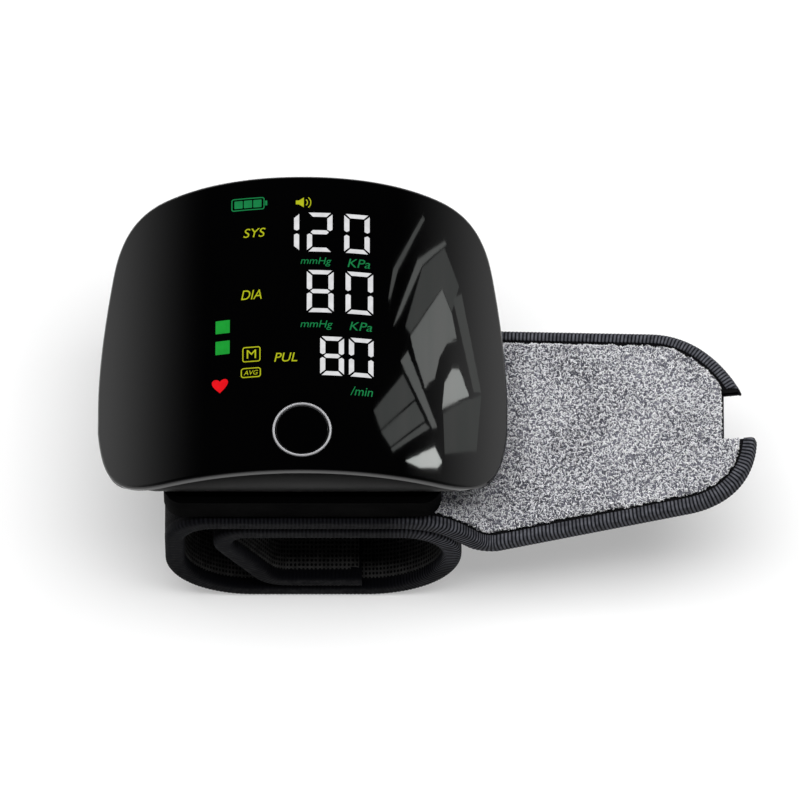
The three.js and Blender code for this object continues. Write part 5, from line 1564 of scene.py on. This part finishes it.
def make_pile():
    """The ground cloth and its loops of yarn in three tones."""
    made, top_sheet = make_pile_ground()
    loop = yarn_loop(LOOP_REACH, LOOP_YARN, LOOP_ARC, LOOP_STEPS)
    for i, tone in enumerate((pile_light, pile_pale, pile_dark)):
        seed = LOOP_SEED + LOOP_SEED_STEP * i
        densities = PILE_DENSITIES[tone.name]
        loops = scatter(f"tail_{tone.name}", top_sheet, loop, densities, LOOP_LEAN, LOOP_SIZES, seed, tone)
        bend_with_tail(loops)
    clear_away(top_sheet, loop)
    return made


def make_hooks():
    """The hook patch under the tail: a thin moulded sheet with small hooks all over it."""
    narrow = TAIL_NARROWING / (TAIL_LENGTH - TIP_LENGTHS[0])
    near, far = TAIL_EDGES[0] + HOOK_MARGIN, TAIL_EDGES[1] - HOOK_MARGIN
    start, end = PIVOT_REACH + HOOK_START, PIVOT_REACH + HOOK_END
    loop = [
        (start, near + narrow * HOOK_START),
        (end - HOOK_CORNER, near + narrow * HOOK_END),
        (end, near + narrow * HOOK_END + HOOK_CORNER),
        (end, far - narrow * HOOK_END - HOOK_CORNER),
        (end - HOOK_CORNER, far - narrow * HOOK_END),
        (start, far - narrow * HOOK_START),
    ]
    bm = plate(loop)
    slice_up(bm, HOOK_SLICE)
    under = bm.copy()
    thicken(bm, HOOK_PATCH * HOOK_SHEET)
    round_edges(bm, rim_edges(bm, 0), HOOK_SHEET_ROUND, 2)
    for v in bm.verts:
        v.co.z -= TAPE_FACE + HOOK_PATCH * HOOK_ROOT
    roll_up(bm)
    patch = make_piece("hook_patch_sheet", bm, hook_black)
    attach(patch, "cuff_tail")
    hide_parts("hook_patch")
    for v in under.verts:
        v.co.z = -TAPE_FACE - HOOK_PATCH * HOOK_ROOT
    roll_up(under)
    under.normal_update()
    if sum(face.normal.z for face in under.faces) > 0:
        bmesh.ops.reverse_faces(under, faces=under.faces[:])
    sheet = make_piece("hook_sheet", under, hook_black, closed=False)
    hook = yarn_loop(HOOK_REACH, HOOK_YARN, HOOK_ARC, HOOK_STEPS)
    hooks = scatter(
        "hook_patch_hooks", sheet, hook, HOOK_DENSITIES, HOOK_LEAN, HOOK_SIZES, HOOK_SEED, hook_black
    )
    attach(hooks, "cuff_tail")
    clear_away(sheet, hook)


ground = make_pile()
make_hooks()


# Studio: white floor, soft light, pale surroundings that darken overhead


def make_floor():
    bm = bmesh.new()
    bmesh.ops.create_grid(bm, x_segments=8, y_segments=8, size=FLOOR_HALF)
    material, tree, shader = new_material(
        "studio_white",
        Base_Color=(FLOOR_TONE, FLOOR_TONE, FLOOR_TONE, 1),
        Roughness=0.9,
        Specular_IOR_Level=0.0,
        Emission_Color=(1, 1, 1, 1),
    )
    path = add_node(tree, "ShaderNodeLightPath")
    seen = work_out(tree, "MAXIMUM", path.outputs["Is Camera Ray"], path.outputs["Is Glossy Ray"])
    seen = work_out(tree, "MAXIMUM", seen, path.outputs["Is Transmission Ray"])
    drive(tree, shader, Emission_Strength=work_out(tree, "MULTIPLY", seen, FLOOR_GLOW))
    floor = make_piece("studio_floor", bm, material, closed=False)


def make_world():
    world = bpy.data.worlds.new("studio")
    scene.world = world
    world.use_nodes = True
    tree = world.node_tree
    back = tree.nodes["Background"]
    back.inputs["Color"].default_value = (1, 1, 1, 1)
    direction = add_node(tree, "ShaderNodeTexCoord").outputs["Generated"]
    parts = add_node(tree, "ShaderNodeSeparateXYZ", Vector=direction)
    level = spread(tree, parts.outputs["Z"], 0.0, SKY_DARK_HEIGHT, 1.0, SKY_DARK_LEVEL, "SMOOTHSTEP")
    near = spread(tree, parts.outputs["Y"], *SKY_NEAR, SKY_NEAR_LEVEL, 1.0)
    light = work_out(tree, "MULTIPLY", level, near)
    seen = add_node(tree, "ShaderNodeLightPath").outputs["Is Camera Ray"]
    drive(tree, back, Strength=work_out(tree, "MAXIMUM", light, seen))


def make_lamp():
    """One wide lamp overhead, which the gloss doesn't mirror."""
    key = bpy.data.lights.new("key", "AREA")
    key.shape = "RECTANGLE"
    key.size, key.size_y = KEY_SIZE
    key.energy = KEY_WATTS
    lamp = bpy.data.objects.new("key", key)
    scene.collection.objects.link(lamp)
    lamp.location = KEY_PLACE
    lamp.visible_glossy = False


def camera_place():
    back = Vector((0, -math.cos(CAMERA_ELEVATION), math.sin(CAMERA_ELEVATION)))
    return CAMERA_AIM + back * CAMERA_DISTANCE


def make_camera():
    data = bpy.data.cameras.new("camera")
    data.sensor_width = SENSOR
    data.lens = SENSOR * CAMERA_DISTANCE / FIELD_WIDTH
    data.clip_start = CAMERA_CLIP
    camera = bpy.data.objects.new("camera", data)
    scene.collection.objects.link(camera)
    camera.location = camera_place()
    camera.rotation_euler = (camera_place() - CAMERA_AIM).to_track_quat("Z", "Y").to_euler()
    scene.camera = camera


def window_glass(name, level):
    """Daylight behind a pane: soft patches of a pale, slightly green grey."""
    material, tree, shader = new_material(
        name, Base_Color=(0, 0, 0, 1), Emission_Strength=level, Roughness=1.0
    )
    patches = speckle(tree, object_place(tree), PANE_CLOUD, 3)
    drive(tree, shader, Emission_Color=blend_colours(tree, patches, (0.72, 0.80, 0.77), (1.0, 1.0, 0.98)))
    return material


def mirror_place(x, y):
    """The place out in the room that the camera sees mirrored in the panel at x, y."""
    spot = Vector((x, y, crown_z(CROWN_RADIUS, x)))
    normal = Vector((x, 0, spot.z - CROWN_AXIS_Z)).normalized()
    ray = (spot - camera_place() / MM).normalized()
    return spot + ray.reflect(normal) * CARD_DISTANCE


def make_window():
    """Panes of a window to the right, which only shine on what mirrors them."""
    for i, (level, outline) in enumerate(WINDOW_PANES):
        bm = plate(outline)
        slice_up(bm, PANE_SLICE, PANE_SLICE_ALONG)
        for v in bm.verts:
            v.co = mirror_place(v.co.x, v.co.y)
        glass = window_glass(f"window_glass_{i + 1}", level)
        pane = make_piece(f"window_pane_{i + 1}", bm, glass, closed=False)
        pane.visible_camera = False
        pane.visible_diffuse = False
        pane.visible_shadow = False


make_floor()
make_window()
make_world()
make_lamp()
make_camera()
scene.view_settings.view_transform = "Standard"
